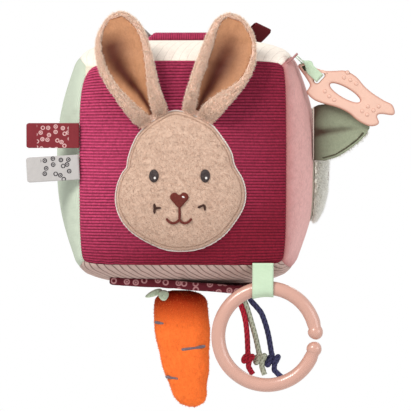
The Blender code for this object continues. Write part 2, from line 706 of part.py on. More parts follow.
def rabbit_ear(side, base_across, base_up, tip_across, tip_up, bow):
    """A cupped ear in layers: plush back, crinkle film and lining, on a hinge at its root's front edge."""
    base = np.array((base_across, base_up))
    along = np.array((tip_across, tip_up)) - base
    length = np.linalg.norm(along)
    along /= length
    across = np.array((along[1], -along[0]))
    back = float(skin(FRONT_FACE, 0.0, base_up)) + GAP
    depth = EAR_PLUSH + EAR_FILM + EAR_LINING + 2 * LAYER_GAP
    origin = (base_across, -(back + depth), base_up)

    def layer(name, reach, start, end, low, high, slot):
        rows = low + (high - low) * np.sin(np.linspace(0.0, math.pi / 2, EAR_ALONG_COUNT))
        turns = np.linspace(-reach, reach, EAR_ACROSS_COUNT + 1)
        share, turn = np.meshgrid(rows, turns, indexing="ij")
        half = EAR_WIDTH / 2 * table_value(EAR_WIDTH_SHARES, share)
        cup = np.radians(table_value(EAR_CUP_DEGREES, share))
        bend = half / np.sin(cup)
        sheets = []
        for offset in (start, end):
            radius = bend - offset
            sideways = radius * np.sin(turn * cup) + bow * np.sin(share * math.pi)
            forward = bend - radius * np.cos(turn * cup)
            place_x = base[0] + share * length * along[0] + sideways * across[0]
            place_z = base[1] + share * length * along[1] + sideways * across[1]
            sheets.append(np.stack((place_x, -(back + forward), place_z), axis=-1))
        grid_solid(name, sheets[1], sheets[0], slot, origin)

    film = EAR_PLUSH + LAYER_GAP
    lining = film + EAR_FILM + LAYER_GAP
    layer(f"{side}_ear_back", 1.0, 0.0, EAR_PLUSH, 0.0, 1.0, "plush_beige")
    layer(f"{side}_ear_film", EAR_FILM_SHARE, film, film + EAR_FILM, *EAR_FILM_RUN_SHARES, "film_clear")
    layer(f"{side}_ear_lining", EAR_LINING_SHARE, lining, lining + EAR_LINING, *EAR_LINING_RUN_SHARES,
          "satin_peach")
    return origin


# Ribbon loops

def folded_tag(name, root, along, across, length, slot):
    """A ribbon folded into a flat loop: along runs from the seam to the fold, across is its width."""
    root, along, across = (np.asarray(item, dtype=float) for item in (root, along, across))
    along /= np.linalg.norm(along)
    across /= np.linalg.norm(across)
    normal = np.cross(along, across)
    turn = np.linspace(-math.pi / 2, math.pi / 2, RIBBON_TURN_COUNT)
    ends = []
    for radius in (TAG_FOLD - TAG_RIBBON / 2, TAG_FOLD + TAG_RIBBON / 2):
        reach = length - TAG_FOLD - TAG_RIBBON / 2
        start = TAG_FOLD + TAG_RIBBON / 2
        far = np.column_stack((reach + radius * np.cos(turn), radius * np.sin(turn)))
        near = np.column_stack((start - radius * np.cos(turn), -radius * np.sin(turn)))
        path = np.vstack((far, near))
        line = root + path[:, :1] * along + path[:, 1:] * normal
        ends.append(np.stack((line - across * TAG_WIDTH / 2, line + across * TAG_WIDTH / 2), axis=1))
    strip_ring(name, ends[0], ends[1], slot, root)
    return tuple(root)


def left_tags():
    seam = block_point((-1.0, -1.0, 0.0))
    forward = seam[1] - TAG_FORWARD - TAG_FOLD - TAG_RIBBON / 2
    root_across = seam[0] + TAG_FOLD
    tilt = math.radians(GREY_TAG_TILT_DEGREES)
    return {
        "red_tag": folded_tag("red_tag", (root_across, forward, RED_TAG_UP), (-1.0, 0.0, 0.0), (0.0, 0.0, 1.0),
                              TAG_LENGTH, "ribbon_red"),
        "grey_tag": folded_tag("grey_tag", (root_across, forward, GREY_TAG_UP),
                               (-math.cos(tilt), 0.0, -math.sin(tilt)), (-math.sin(tilt), 0.0, math.cos(tilt)),
                               TAG_LENGTH, "ribbon_grey"),
    }


def top_strap():
    """A padded band whose feet lie on the top panel and whose middle stands clear of it with a flat underside."""
    run = np.linspace(-STRAP_LENGTH / 2, STRAP_LENGTH / 2, STRAP_CELL_COUNT + 1)
    depth = STRAP_BACK + STRAP_WIDTH / 2 * np.linspace(-1.0, 1.0, 5)
    along, back = np.meshgrid(run, depth, indexing="ij")
    rise = STRAP_LENGTH / 2 - STRAP_FOOT - STRAP_FLAT / 2
    lifted = eased((STRAP_LENGTH / 2 - STRAP_FOOT - np.abs(along)) / rise)
    foot = skin(TOP_FACE, STRAP_ACROSS + along, back) + GAP
    under = foot * (1 - lifted) + STRAP_UNDERSIDE_UP * lifted
    low = on_face(TOP_FACE, STRAP_ACROSS + along, back, under)
    high = on_face(TOP_FACE, STRAP_ACROSS + along, back, under + STRAP_THICKNESS)
    grid_solid("top_strap", high, low, "corduroy_raspberry")


def top_tags():
    """One tag lies off each end of the strap, a lift above the top panel."""
    slant = math.radians(GREY_TOP_TAG_SLANT_DEGREES)
    grey_across = STRAP_ACROSS - STRAP_LENGTH / 2 + GREY_TOP_TAG_INWARD
    grey_up = float(skin(TOP_FACE, grey_across, STRAP_BACK)) + GREY_TOP_TAG_LIFT
    red_across = STRAP_ACROSS + STRAP_LENGTH / 2 - RED_TOP_TAG_INWARD
    red_up = float(skin(TOP_FACE, red_across, RED_TOP_TAG_BACK)) + RED_TOP_TAG_LIFT
    return {
        "grey_top_tag": folded_tag("grey_top_tag", (grey_across, STRAP_BACK, grey_up),
                                   (-math.cos(slant), 0.0, math.sin(slant)),
                                   (math.sin(slant), 0.0, math.cos(slant)), GREY_TOP_TAG_LENGTH, "ribbon_grey"),
        "red_top_tag": folded_tag("red_top_tag", (red_across, RED_TOP_TAG_BACK, red_up),
                                  RED_TOP_TAG_RUN_SHARES, RED_TOP_TAG_EDGE_SHARES, RED_TOP_TAG_LENGTH,
                                  "ribbon_red"),
    }


# Head and ears on the right panel

def side_head():
    middle = np.array((SIDE_HEAD_ACROSS, SIDE_HEAD_UP))
    loop = outline(SIDE_OUTLINE_SHARES, SIDE_HEAD_WIDTH, SIDE_HEAD_HEIGHT, SIDE_HEAD_ACROSS, SIDE_HEAD_UP,
                   SIDE_CELL_COUNT)

    def panel_front(across, up):
        return skin(RIGHT_FACE, across, up)
    backing_front = patch("side_head_backing", RIGHT_FACE, grown(loop, middle, SIDE_EDGING), middle,
                          panel_front, SIDE_BACKING, 0.0, "felt_cream")
    head_front = patch("side_head", RIGHT_FACE, loop, middle, backing_front, SIDE_HEAD_RIM, SIDE_HEAD_CROWN,
                       "fluff_pale")
    for name, side in (("side_left_eye", -1), ("side_right_eye", 1)):
        across = SIDE_HEAD_ACROSS + side * SIDE_EYE_SPREAD / 2
        patch(name, RIGHT_FACE, ellipse(SIDE_EYE_SIZE, SIDE_EYE_SIZE, across, SIDE_EYE_UP, 10),
              np.array((across, SIDE_EYE_UP)), head_front, EYE_THICKNESS, 0.0, "thread_dark")
    patch("side_nose", RIGHT_FACE, ellipse(SIDE_NOSE_WIDTH, SIDE_NOSE_HEIGHT, SIDE_HEAD_ACROSS, SIDE_NOSE_UP, 12),
          np.array((SIDE_HEAD_ACROSS, SIDE_NOSE_UP)), head_front, NOSE_THICKNESS, 0.0, "thread_brown")


def side_ear(name, side):
    """An ear standing out from the right panel: a plush back and a satin front that faces the block's front."""
    inner_edge = min(SIDE_EAR_BACK, abs(side * SIDE_EAR_BACK + SIDE_EAR_PLUSH))
    root_low = SIDE_EAR_MIDDLE_UP - SIDE_EAR_SPAN / 2 * SIDE_EAR_WIDTH_SHARES[0][1]
    root_out = float(skin(RIGHT_FACE, inner_edge, root_low)) + SIDE_EAR_ROOT_GAP
    root = (root_out, side * SIDE_EAR_BACK, SIDE_EAR_MIDDLE_UP)
    share = np.sin(np.linspace(0.0, math.pi / 2, SIDE_EAR_CELL_COUNT + 1))

    def layer(label, low, reach, start, end, slot):
        rows, turns = np.meshgrid(low + (1 - low) * share * reach, np.linspace(-reach, reach, 9), indexing="ij")
        half = SIDE_EAR_SPAN / 2 * table_value(SIDE_EAR_WIDTH_SHARES, rows)
        out = root_out + rows * SIDE_EAR_REACH
        up = SIDE_EAR_MIDDLE_UP + turns * half + SIDE_EAR_RISE * rows ** 2
        grids = [np.stack((out, np.full_like(out, side * SIDE_EAR_BACK) + offset, up), axis=-1)
                 for offset in (start, end)]
        grid_solid(label, grids[1], grids[0], slot, root)

    layer(f"{name}_back", 0.0, 1.0, 0.0, SIDE_EAR_PLUSH, "fluff_pale")
    layer(f"{name}_satin", SIDE_EAR_SATIN_START_SHARE, SIDE_EAR_SATIN_SHARE, -GAP - SIDE_EAR_SATIN, -GAP, "satin_sage")
    return root


# Teether on its ribbon

def ribbon_direction():
    run = np.array((SLOT_ACROSS - RIBBON_ROOT_ACROSS, SLOT_UP - RIBBON_ROOT_UP))
    return run / np.linalg.norm(run)


def teether_back():
    """The teether's middle plane: it leans against the satin ear's front."""
    ear_front = SIDE_EAR_BACK + GAP + SIDE_EAR_SATIN
    return -(ear_front + TEETHER_EAR_GAP + TEETHER_THICKNESS / 2)


def teether():
    """A flat rounded plate with a finger hole and a ribbon slot."""
    along = ribbon_direction()
    loops = [outline(TEETHER_OUTLINE_SHARES, TEETHER_WIDTH, TEETHER_HEIGHT, TEETHER_ACROSS, TEETHER_UP,
                     TEETHER_POINT_COUNT)]
    turn = math.radians(TEETHER_HOLE_TURN_DEGREES)
    hole = ellipse(TEETHER_HOLE_LENGTH, TEETHER_HOLE_WIDTH, 0.0, 0.0, TEETHER_HOLE_COUNT)
    spin = np.array(((math.cos(turn), math.sin(turn)), (-math.sin(turn), math.cos(turn))))
    loops.append(hole @ spin + (TEETHER_HOLE_ACROSS, TEETHER_HOLE_UP))
    half_circle = np.linspace(-math.pi / 2, math.pi / 2, 5)
    radius = SLOT_WIDTH / 2
    straight = SLOT_LENGTH / 2 - radius
    slot = np.vstack((np.column_stack((straight + radius * np.cos(half_circle), radius * np.sin(half_circle))),
                      np.column_stack((-straight - radius * np.cos(half_circle),
                                       -radius * np.sin(half_circle)))))
    across = np.array((-along[1], along[0]))
    loops.append(slot[:, :1] * across + slot[:, 1:] * along + (SLOT_ACROSS, SLOT_UP))

    origin = (SLOT_ACROSS, teether_back(), SLOT_UP)
    plate("teether", loops, teether_back(), TEETHER_THICKNESS, TEETHER_ROUNDING, "silicone_peach", origin)
    return origin


def plate(name, loops, middle, thickness, rounding, slot, origin):
    """A flat plate facing the front with rounded edges: the first loop is its outline, the others its holes."""
    work = bmesh.new()
    rims = ([], [])
    bends = np.radians((-90.0, -45.0, 0.0, 0.0, 45.0, 90.0))
    sides = (-1, -1, -1, 1, 1, 1)
    for order, loop in enumerate(loops):
        after = np.roll(loop, -1, axis=0)
        area = (loop[:, 0] * after[:, 1] - after[:, 0] * loop[:, 1]).sum()
        if (area > 0) != (order == 0):
            loop = loop[::-1]
        run = np.roll(loop, -1, axis=0) - np.roll(loop, 1, axis=0)
        run /= np.linalg.norm(run, axis=1)[:, None]
        inward = np.column_stack((-run[:, 1], run[:, 0]))
        rings = []
        for bend, side in zip(bends, sides):
            flat = loop + inward * rounding * (1 - math.cos(bend))
            out = middle - side * (thickness / 2 - rounding) - rounding * math.sin(bend)
            rings.append([work.verts.new((across - origin[0], out - origin[1], up - origin[2]))
                          for across, up in flat])
        for ring, above in zip(rings, rings[1:]):
            for step in range(len(ring)):
                following = (step + 1) % len(ring)
                work.faces.new((ring[step], ring[following], above[following], above[step]))
        for rim, ring in zip(rims, (rings[0], rings[-1])):
            for step in range(len(ring)):
                rim.append(work.edges.get((ring[step], ring[(step + 1) % len(ring)])))
    for rim in rims:
        bmesh.ops.triangle_fill(work, edges=rim, use_beauty=True)
    bmesh.ops.recalc_face_normals(work, faces=work.faces)
    mesh = bpy.data.meshes.new(name)
    work.to_mesh(mesh)
    work.free()
    mesh.shade_smooth()
    mesh.set_sharp_from_angle(angle=math.radians(SMOOTH_ANGLE_DEGREES))
    return place(name, mesh, slot, origin)


def teether_ribbon():
    """A ribbon loop from the top right seam that turns a quarter on its way and passes through the slot."""
    direction = ribbon_direction()
    along = np.array((direction[0], 0.0, direction[1]))
    level = np.array((0.0, 1.0, 0.0))
    above = np.cross(level, along)
    root = np.array((RIBBON_ROOT_ACROSS, teether_back(), RIBBON_ROOT_UP))
    run = math.hypot(SLOT_ACROSS - RIBBON_ROOT_ACROSS, SLOT_UP - RIBBON_ROOT_UP)
    wide = TEETHER_THICKNESS / 2 + TEETHER_RIBBON_CLEARANCE + TEETHER_RIBBON_THICKNESS / 2
    narrow = TEETHER_RIBBON_THICKNESS
    corner = TEETHER_RIBBON_THICKNESS

    def leg(side, share):
        opened = eased(share / TEETHER_RIBBON_OPEN_SHARE)
        turn = math.pi / 2 * (1 - opened)
        normal = math.cos(turn) * level + math.sin(turn) * above
        apart = narrow + (wide - narrow) * opened
        place = root + share * (run - corner) * along + side * apart * normal
        return place, side * normal, np.cross(along, normal)

    shares = np.linspace(0.0, 1.0, RIBBON_RUN_COUNT)
    stations = [leg(1, share) for share in shares]
    for step in (0.5, 0.0, -0.5):
        normal = step * level + along
        place = root + run * along + step * 2 * (wide - corner) * level
        stations.append((place, normal / np.linalg.norm(normal), stations[-1][2]))
    stations += [leg(-1, share) for share in shares[::-1]]
    stations.append((root - narrow * along, -along, np.cross(along, above)))
    inner, outer = [], []
    for place, normal, width in stations:
        for rows, shift in ((inner, -0.5), (outer, 0.5)):
            line = place + normal * shift * TEETHER_RIBBON_THICKNESS
            rows.append((line - width * TEETHER_RIBBON_WIDTH / 2, line + width * TEETHER_RIBBON_WIDTH / 2))
    strip_ring("teether_ribbon", np.array(inner), np.array(outer), "ribbon_mint", root)
    return tuple(root)


# Ring on its ribbon

def hanging_ring():
    """A round bar bent into an open ring, with a ball at each end."""
    ball_turn = (RING_BALL_RADIUS + RING_BALL_GAP / 2) / RING_RADIUS
    start = math.radians(RING_GAP_DEGREES) + ball_turn
    end = start + 2 * math.pi - 2 * ball_turn
    turns = np.linspace(start, end, RING_CELL_COUNT + 1)
    radii = np.full(len(turns), RING_TUBE_RADIUS)
    cap = np.radians(np.array((-84.0, -60.0, -36.0, -12.0, 12.0)))
    ball_turns = np.sin(cap) * RING_BALL_RADIUS / RING_RADIUS
    ball_radii = np.cos(cap) * RING_BALL_RADIUS
    inside = np.abs(turns - math.pi - math.radians(RING_GAP_DEGREES)) < math.pi - 2 * ball_turn
    turns = np.concatenate((start + ball_turns, turns[inside], (end - ball_turns)[::-1]))
    radii = np.concatenate((ball_radii, radii[inside], ball_radii[::-1]))
    line = np.column_stack((RING_ACROSS + RING_RADIUS * np.cos(turns), np.full(len(turns), RING_BACK),
                            RING_UP + RING_RADIUS * np.sin(turns)))
    origin = (RING_ACROSS, RING_BACK, RING_UP)
    ring_solid("hanging_ring", tube_rings(line, radii, RING_SIDE_COUNT), "plastic_peach", origin)
    return origin


def ring_ribbon():
    """A ribbon loop from the bottom front seam round the ring's bar, which it follows across its width."""
    across = RING_RIBBON_ACROSS + RING_RIBBON_WIDTH * np.linspace(-0.5, 0.5, RING_RIBBON_ACROSS_COUNT + 1)
    bar_up = RING_UP + np.sqrt(RING_RADIUS ** 2 - (across - RING_ACROSS) ** 2)
    middle_up = bar_up[RING_RIBBON_ACROSS_COUNT // 2]
    around = RING_TUBE_RADIUS + RING_RIBBON_CLEARANCE + RING_RIBBON_THICKNESS / 2
    inner, outer = [], []
    for shift in (-0.5, 0.5):
        radius = around + shift * RING_RIBBON_THICKNESS
        fold = RING_RIBBON_FOLD + shift * RING_RIBBON_THICKNESS
        rows = []
        for turn in np.linspace(0.0, -math.pi, 2 * RIBBON_TURN_COUNT + 1):
            rows.append(np.stack((across, np.full_like(across, RING_BACK + radius * math.cos(turn)),
                                  bar_up + radius * math.sin(turn)), axis=-1))
        height = RING_RIBBON_ROOT_UP - middle_up
        for side in (-1, 1):
            for share in RING_RIBBON_RISE_SHARES[::-side]:
                apart = radius + (fold - radius) * eased(share)
                up = bar_up * (1 - share) + (middle_up + height) * share
                rows.append(np.stack((across, np.full_like(across, RING_BACK + side * apart), up), axis=-1))
        (inner if shift < 0 else outer).extend(rows)
    inner, outer = np.array(inner), np.array(outer)
    # The fold at the seam is closed by lifting the outer strip over the inner one
    first = 2 * RIBBON_TURN_COUNT + len(RING_RIBBON_RISE_SHARES)
    top = slice(first, first + 2)
    outer[top, :, 2] += RING_RIBBON_THICKNESS
    root = (RING_RIBBON_ACROSS, RING_BACK, RING_RIBBON_ROOT_UP)
    strip_ring("ring_ribbon", inner, outer, "ribbon_mint", root)
    return root


# Pocket, hem, carrot and cords under the block

def pocket_top(across, back):
    """The pocket follows the bottom panel at its left and rear, and sags off it towards its right front corner."""
    run = np.clip((across - POCKET_LEFT) / (POCKET_RIGHT - POCKET_LEFT), 0.0, 1.0)
    depth = np.clip((back - POCKET_FRONT) / (POCKET_REAR - POCKET_FRONT), 0.0, 1.0)
    hanging = POCKET_SAG * eased(run) ** 1.5 + POCKET_MOUTH
    return -(skin(BOTTOM_FACE, across, back) + GAP + hanging * (1 - eased(depth)))


def pocket_underside(across, back):
    return float(pocket_top(np.array(across), np.array(back))) - POCKET_THICKNESS


def pocket():
    """A patch pocket under the bottom panel, open towards the front, with a hem along its mouth."""
    rows = np.linspace(POCKET_LEFT, POCKET_RIGHT, POCKET_CELL_COUNT + 1)
    columns = np.linspace(POCKET_FRONT, POCKET_REAR, POCKET_CELL_COUNT + 1)
    across, back = np.meshgrid(rows, columns, indexing="ij")
    high = np.stack((across, back, pocket_top(across, back)), axis=-1)
    low = high - (0.0, 0.0, POCKET_THICKNESS)
    grid_solid("bottom_pocket", high, low, "cotton_print_red")

    line_x = np.linspace(POCKET_LEFT, POCKET_RIGHT, HEM_CELL_COUNT + 1)
    line_y = np.full(len(line_x), POCKET_FRONT - GAP - HEM_DEPTH / 2)
    line_z = pocket_top(line_x, line_y) + POCKET_MOUTH - HEM_HEIGHT / 2
    ends = 1 - np.abs(np.linspace(-1.0, 1.0, len(line_x))) ** HEM_END_POWER * (1 - HEM_END_SHARE)
    rings = tube_rings(np.column_stack((line_x, line_y, line_z)), ends * HEM_HEIGHT / 2, HEM_SIDE_COUNT,
                       (HEM_DEPTH / HEM_HEIGHT, 1.0))
    ring_solid("pocket_hem", rings, "cotton_print_red")


def carrot():
    underside = min(pocket_underside(CARROT_ACROSS + side * TETHER_WIDTH / 2, CARROT_BACK + depth * TETHER_THICKNESS)
                    for side in (-1, 0, 1) for depth in (-1, 1))
    origin = (CARROT_ACROSS, CARROT_BACK, underside - TETHER_GAP)
    top = underside - CARROT_TOP_DROP
    shares = np.array([share for share, _ in CARROT_SHARES])
    widths = np.array([width for _, width in CARROT_SHARES])
    line = np.column_stack((CARROT_ACROSS + CARROT_BEND * shares ** CARROT_BEND_POWER, np.full(len(shares), CARROT_BACK),
                            top - CARROT_LENGTH * shares))
    turn = np.linspace(0.0, 2 * math.pi, CARROT_SIDE_COUNT, endpoint=False)
    rings = line[:, None] + np.stack((widths[:, None] * CARROT_WIDTH / 2 * np.cos(turn),
                                      widths[:, None] * CARROT_DEPTH / 2 * np.sin(turn),
                                      np.zeros((len(shares), len(turn)))), axis=-1)
    ring_solid("carrot_body", rings, "velour_orange", origin)

    half = np.array((TETHER_WIDTH, TETHER_THICKNESS)) / 2
    corners = np.array(((-1, -1), (1, -1), (1, 1), (-1, 1))) * half + origin[:2]
    tab = np.array([np.column_stack((corners, np.full(4, up))) for up in (underside - TETHER_GAP, top + GAP)])
    ring_solid("carrot_tether", tab, "ribbon_mint", origin)

    turns = np.linspace(0.0, 2 * math.pi, LEAF_CELL_COUNT, endpoint=False)
    for name, degrees, lift in zip(("carrot_left_leaf", "carrot_right_leaf"), LEAF_TURN_DEGREES, (0, 1)):
        angle = math.radians(degrees)
        along = np.array((math.cos(angle), math.sin(angle)))
        across = np.array((-along[1], along[0]))
        reach = (1 - np.cos(turns)) / 2 * LEAF_LENGTH
        wide = np.sin(turns) * LEAF_WIDTH / 2 * (1 - LEAF_TAPER_SHARE * (1 - np.cos(turns)) / 2)
        flat = np.array((LEAF_ROOT_ACROSS, top - LEAF_DROP)) + reach[:, None] * along + wide[:, None] * across
        forward = CARROT_BACK - LEAF_FORWARD - lift * (LEAF_THICKNESS + GAP)
        leaf = np.array([np.column_stack((flat[:, 0], np.full(len(flat), place_y), flat[:, 1]))
                         for place_y in (forward, forward - LEAF_THICKNESS)])
        ring_solid(name, leaf, "felt_leaf", origin)
    return origin


def cords():
    """Three hanging cords, each a tube to its knot, and each knot with the cord's short tail below it."""
    lines = {}
    for colour, route in CORD_ROUTES.items():
        line = smooth_line(route, CORD_POINT_COUNT)
        across, back = line[1, :2]
        underside = min(pocket_underside(across, back + side * CORD_DIAMETER) for side in (-1, 0, 1))
        line[0] = (across, back, underside - EXIT_GAP)
        lines[colour] = line
    tops = np.array([line[0] for line in lines.values()])
    origin = (tops[:, 0].mean(), tops[:, 1].mean(), tops[:, 2].min() - CORD_SWING_DROP)
    for colour, line in lines.items():
        hanging_cord(colour, line, origin)
        knot(colour, line, origin)
    return origin


def hanging_cord(colour, line, origin):
    curve = bpy.data.curves.new(f"{colour}_cord", "CURVE")
    curve.dimensions = "3D"
    curve.bevel_depth = CORD_DIAMETER / 2
    curve.bevel_resolution = 2
    curve.use_fill_caps = True
    spline = curve.splines.new("POLY")
    spline.points.add(len(line) - 1)
    spline.points.foreach_set("co", np.column_stack((line - origin, np.ones(len(line)))).ravel())
    place(f"{colour}_cord", curve, f"cord_{colour}", origin)


def knot(colour, line, origin):
    radius = KNOT_RADII[colour]
    down = line[-1] - line[-2]
    down /= np.linalg.norm(down)
    swell = np.linspace(0.0, math.pi, 7)
    lumps = np.maximum(radius * np.sin(swell) ** KNOT_ROUND_POWER, CORD_DIAMETER / 2)
    depth = radius * (1 - np.cos(swell))
    depths = np.concatenate((depth, depth[-1] + np.array((0.5, 1.0)) * TAIL_LENGTH))
    radii = np.concatenate((lumps, (CORD_DIAMETER / 2, CORD_DIAMETER / 2)))
    lean = np.clip((depths - radius) / (depths[-1] - radius), 0.0, 1.0) ** TAIL_LEAN_POWER * KNOT_LEAN[colour]
    path = line[-1] + (GAP + depths[:, None]) * down + lean[:, None] * np.array((1.0, 0.0, 0.0))
    ring_solid(f"{colour}_knot", tube_rings(path, radii, KNOT_SIDE_COUNT), f"cord_{colour}", origin)


def rattle():
    rattle_shell("rattle_front_shell", -1)
    rattle_shell("rattle_rear_shell", 1)
    reach = RATTLE_RADIUS - RATTLE_WALL - BEAD_RADIUS - LAYER_GAP
    spread = 2 * math.asin((BEAD_RADIUS + GAP) / reach)
    for step in range(BEAD_COUNT):
        turn = -math.pi / 2 + (step - (BEAD_COUNT - 1) / 2) * spread
        ball(f"rattle_bead_{step + 1}", (reach * math.cos(turn), 0.0, reach * math.sin(turn)), BEAD_RADIUS,
             "bead_plastic", 10, 6)


clear_scene()
block_root = bpy.data.objects.new("block_root", None)
bpy.context.scene.collection.objects.link(block_root)
block_root.location = (-STRAP_ACROSS, -STRAP_BACK, -STRAP_UNDERSIDE_UP)

rattle_cutter = ball("rattle_cutter", (0.0, 0.0, 0.0), RATTLE_RADIUS + RATTLE_CLEARANCE, "foam", 20, 12)
rattle_cutter.hide_render = True
rattle_cutter.display_type = "WIRE"

panel("front_panel", FRONT_FACE, "corduroy_raspberry")
panel("back_panel", (0, 2, 1, 1), "corduroy_raspberry")
panel("left_panel", (1, 2, 0, -1), "jersey_sage")
panel("right_panel", RIGHT_FACE, "velour_pink")
panel("top_panel", TOP_FACE, "corduroy_cream")
panel("bottom_panel", BOTTOM_FACE, "corduroy_cream")
core_half("core_front_half", -1)
core_half("core_rear_half", 1)
rattle()
rabbit_head()
joint_places = {
    "left_ear": rabbit_ear("left", LEFT_EAR_BASE_ACROSS, LEFT_EAR_BASE_UP, LEFT_EAR_TIP_ACROSS, LEFT_EAR_TIP_UP,
                           LEFT_EAR_BOW),
    "right_ear": rabbit_ear("right", RIGHT_EAR_BASE_ACROSS, RIGHT_EAR_BASE_UP, RIGHT_EAR_TIP_ACROSS,
                            RIGHT_EAR_TIP_UP, RIGHT_EAR_BOW),
}
joint_places.update(left_tags())
top_strap()
joint_places.update(top_tags())
side_head()
joint_places["side_near_ear"] = side_ear("side_near_ear", -1)
joint_places["side_far_ear"] = side_ear("side_far_ear", 1)
joint_places["teether"] = teether()
joint_places["teether_ribbon"] = teether_ribbon()
joint_places["hanging_ring"] = hanging_ring()
joint_places["ring_ribbon"] = ring_ribbon()
pocket()
joint_places["carrot"] = carrot()
joint_places["cord_bunch"] = cords()
for joint_name, joint_place in joint_places.items():
    print(joint_name, np.round(np.array(joint_place) + np.array(block_root.location), 5).tolist())
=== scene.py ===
import math

import bmesh
import bpy
import numpy as np
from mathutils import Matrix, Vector


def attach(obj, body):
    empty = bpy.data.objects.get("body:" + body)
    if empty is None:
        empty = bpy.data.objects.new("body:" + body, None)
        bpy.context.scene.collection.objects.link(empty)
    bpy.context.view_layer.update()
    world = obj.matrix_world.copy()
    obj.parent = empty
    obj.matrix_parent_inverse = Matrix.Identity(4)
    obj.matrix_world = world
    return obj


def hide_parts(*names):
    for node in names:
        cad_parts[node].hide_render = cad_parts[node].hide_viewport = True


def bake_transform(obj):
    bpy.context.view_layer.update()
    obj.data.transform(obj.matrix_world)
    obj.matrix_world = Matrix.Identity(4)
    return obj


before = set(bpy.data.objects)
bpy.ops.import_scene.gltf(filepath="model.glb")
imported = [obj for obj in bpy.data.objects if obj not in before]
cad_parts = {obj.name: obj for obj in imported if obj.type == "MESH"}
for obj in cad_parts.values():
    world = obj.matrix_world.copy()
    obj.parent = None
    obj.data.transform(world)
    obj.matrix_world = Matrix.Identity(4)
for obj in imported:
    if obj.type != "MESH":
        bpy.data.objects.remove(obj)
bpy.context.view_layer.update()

print("frame loaded:", len(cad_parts), "nodes")

# Lengths are metres and places are measured round the block's centre, which sits here in the frame
blockCentre = np.array((-0.0060, -0.0440, -0.0772))
scene = bpy.context.scene
scene.view_settings.view_transform = "Standard"


# Camera, lights and backdrop

view = {
    "focus": (0.0, -0.0620, 0.0),      # middle of the front face
    "stand": (0.0839, -1.6000, 0.0279),  # camera from the focus
    "aim": (0.0138, 0.0, -0.0255),
    "lens": 233.6,
    "floorDrop": 0.40,
    "floorSize": 3.2,
    "daylight": 0.52,
    "keyPower": 23.0,
    "fillPower": 8.5,
    "rimPower": 5.0,
}


def turnTowards(thing, place, target):
    thing.location = Vector(place)
    thing.rotation_euler = (Vector(target) - Vector(place)).to_track_quat("-Z", "Y").to_euler()


def setCamera():
    focus = blockCentre + view["focus"]
    lens = bpy.data.cameras.new("camera")
    lens.lens = view["lens"]
    lens.sensor_width = 36.0
    lens.clip_end = 50.0
    camera = bpy.data.objects.new("camera", lens)
    scene.collection.objects.link(camera)
    turnTowards(camera, focus + view["stand"], focus + view["aim"])
    scene.camera = camera


def setLamp(name, place, size, power, tint):
    lamp = bpy.data.lights.new(name, "AREA")
    lamp.shape = "DISK"
    lamp.size = size
    lamp.energy = power
    lamp.color = tint
    thing = bpy.data.objects.new(name, lamp)
    scene.collection.objects.link(thing)
    turnTowards(thing, blockCentre + place, blockCentre)


setCamera()
setLamp("keyLamp", np.array((-0.75, -1.15, 1.05)), 0.75, view["keyPower"], (1.0, 0.98, 0.95))
setLamp("fillLamp", np.array((1.35, -0.95, 0.25)), 1.1, view["fillPower"], (0.97, 0.98, 1.0))
setLamp("rimLamp", np.array((0.3, 1.3, 1.0)), 1.0, view["rimPower"], (1.0, 1.0, 1.0))


# Node helpers: a value that is a socket is linked, any other is set on the input itself

def addNode(tree, kind, values=None, settings=None):
    made = tree.nodes.new("ShaderNode" + kind)
    for key, value in (settings or {}).items():
        setattr(made, key, value)
    for key, value in (values or {}).items():
        if isinstance(value, bpy.types.NodeSocket):
            tree.links.new(value, made.inputs[key])
        else:
            made.inputs[key].default_value = value
    return made


def calc(tree, operation, *terms, clamp=False):
    values = {place: term for place, term in enumerate(terms)}
    return addNode(tree, "Math", values, {"operation": operation, "use_clamp": clamp}).outputs[0]


def blendColour(tree, share, first, second, kind="MIX"):
    return addNode(tree, "Mix", {0: share, 6: first, 7: second}, {"data_type": "RGBA", "blend_type": kind}).outputs[2]


def between(tree, value, low, high, outLow=0.0, outHigh=1.0):
    return addNode(tree, "MapRange", {0: value, 1: low, 2: high, 3: outLow, 4: outHigh},
                   {"interpolation_type": "SMOOTHSTEP"}).outputs[0]


def noise(tree, place, scale, detail=2.0, roughness=0.5):
    return addNode(tree, "TexNoise", {"Vector": place, "Scale": scale, "Detail": detail,
                                      "Roughness": roughness}).outputs[0]


def tone(red, green, blue):
    # A screen colour from 0 to 255 as the linear colour that shows it
    share = np.array((red, green, blue)) / 255
    return (*np.where(share <= 0.04045, share / 12.92, ((share + 0.055) / 1.055) ** 2.4), 1.0)


def startGroup(name, takes, gives):
    tree = bpy.data.node_groups.new(name, "ShaderNodeTree")
    for label, kind, start in takes:
        socket = tree.interface.new_socket(label, in_out="INPUT", socket_type="NodeSocket" + kind)
        if start is not None:
            socket.default_value = start
    for label, kind in gives:
        tree.interface.new_socket(label, in_out="OUTPUT", socket_type="NodeSocket" + kind)
    return tree, tree.nodes.new("NodeGroupInput").outputs, tree.nodes.new("NodeGroupOutput").inputs


def mottleGroup():
    # Slow and fine cloud added up: uneven dye, and the height of a soft uneven surface
    tree, takes, gives = startGroup("softMottle", (("Vector", "Vector", None), ("Scale", "Float", 120.0),
                                                   ("Amount", "Float", 0.2)), (("Tone", "Float"), ("Height", "Float")))
    slow = noise(tree, takes["Vector"], takes["Scale"], 3.0, 0.6)
    fine = noise(tree, takes["Vector"], calc(tree, "MULTIPLY", takes["Scale"], 7.0), 2.0, 0.6)
    both = calc(tree, "ADD", calc(tree, "MULTIPLY", slow, 0.6), calc(tree, "MULTIPLY", fine, 0.4))
    spread = calc(tree, "MULTIPLY", calc(tree, "SUBTRACT", both, 0.5), takes["Amount"])
    tree.links.new(calc(tree, "ADD", spread, 1.0), gives["Tone"])
    tree.links.new(both, gives["Height"])
    return tree


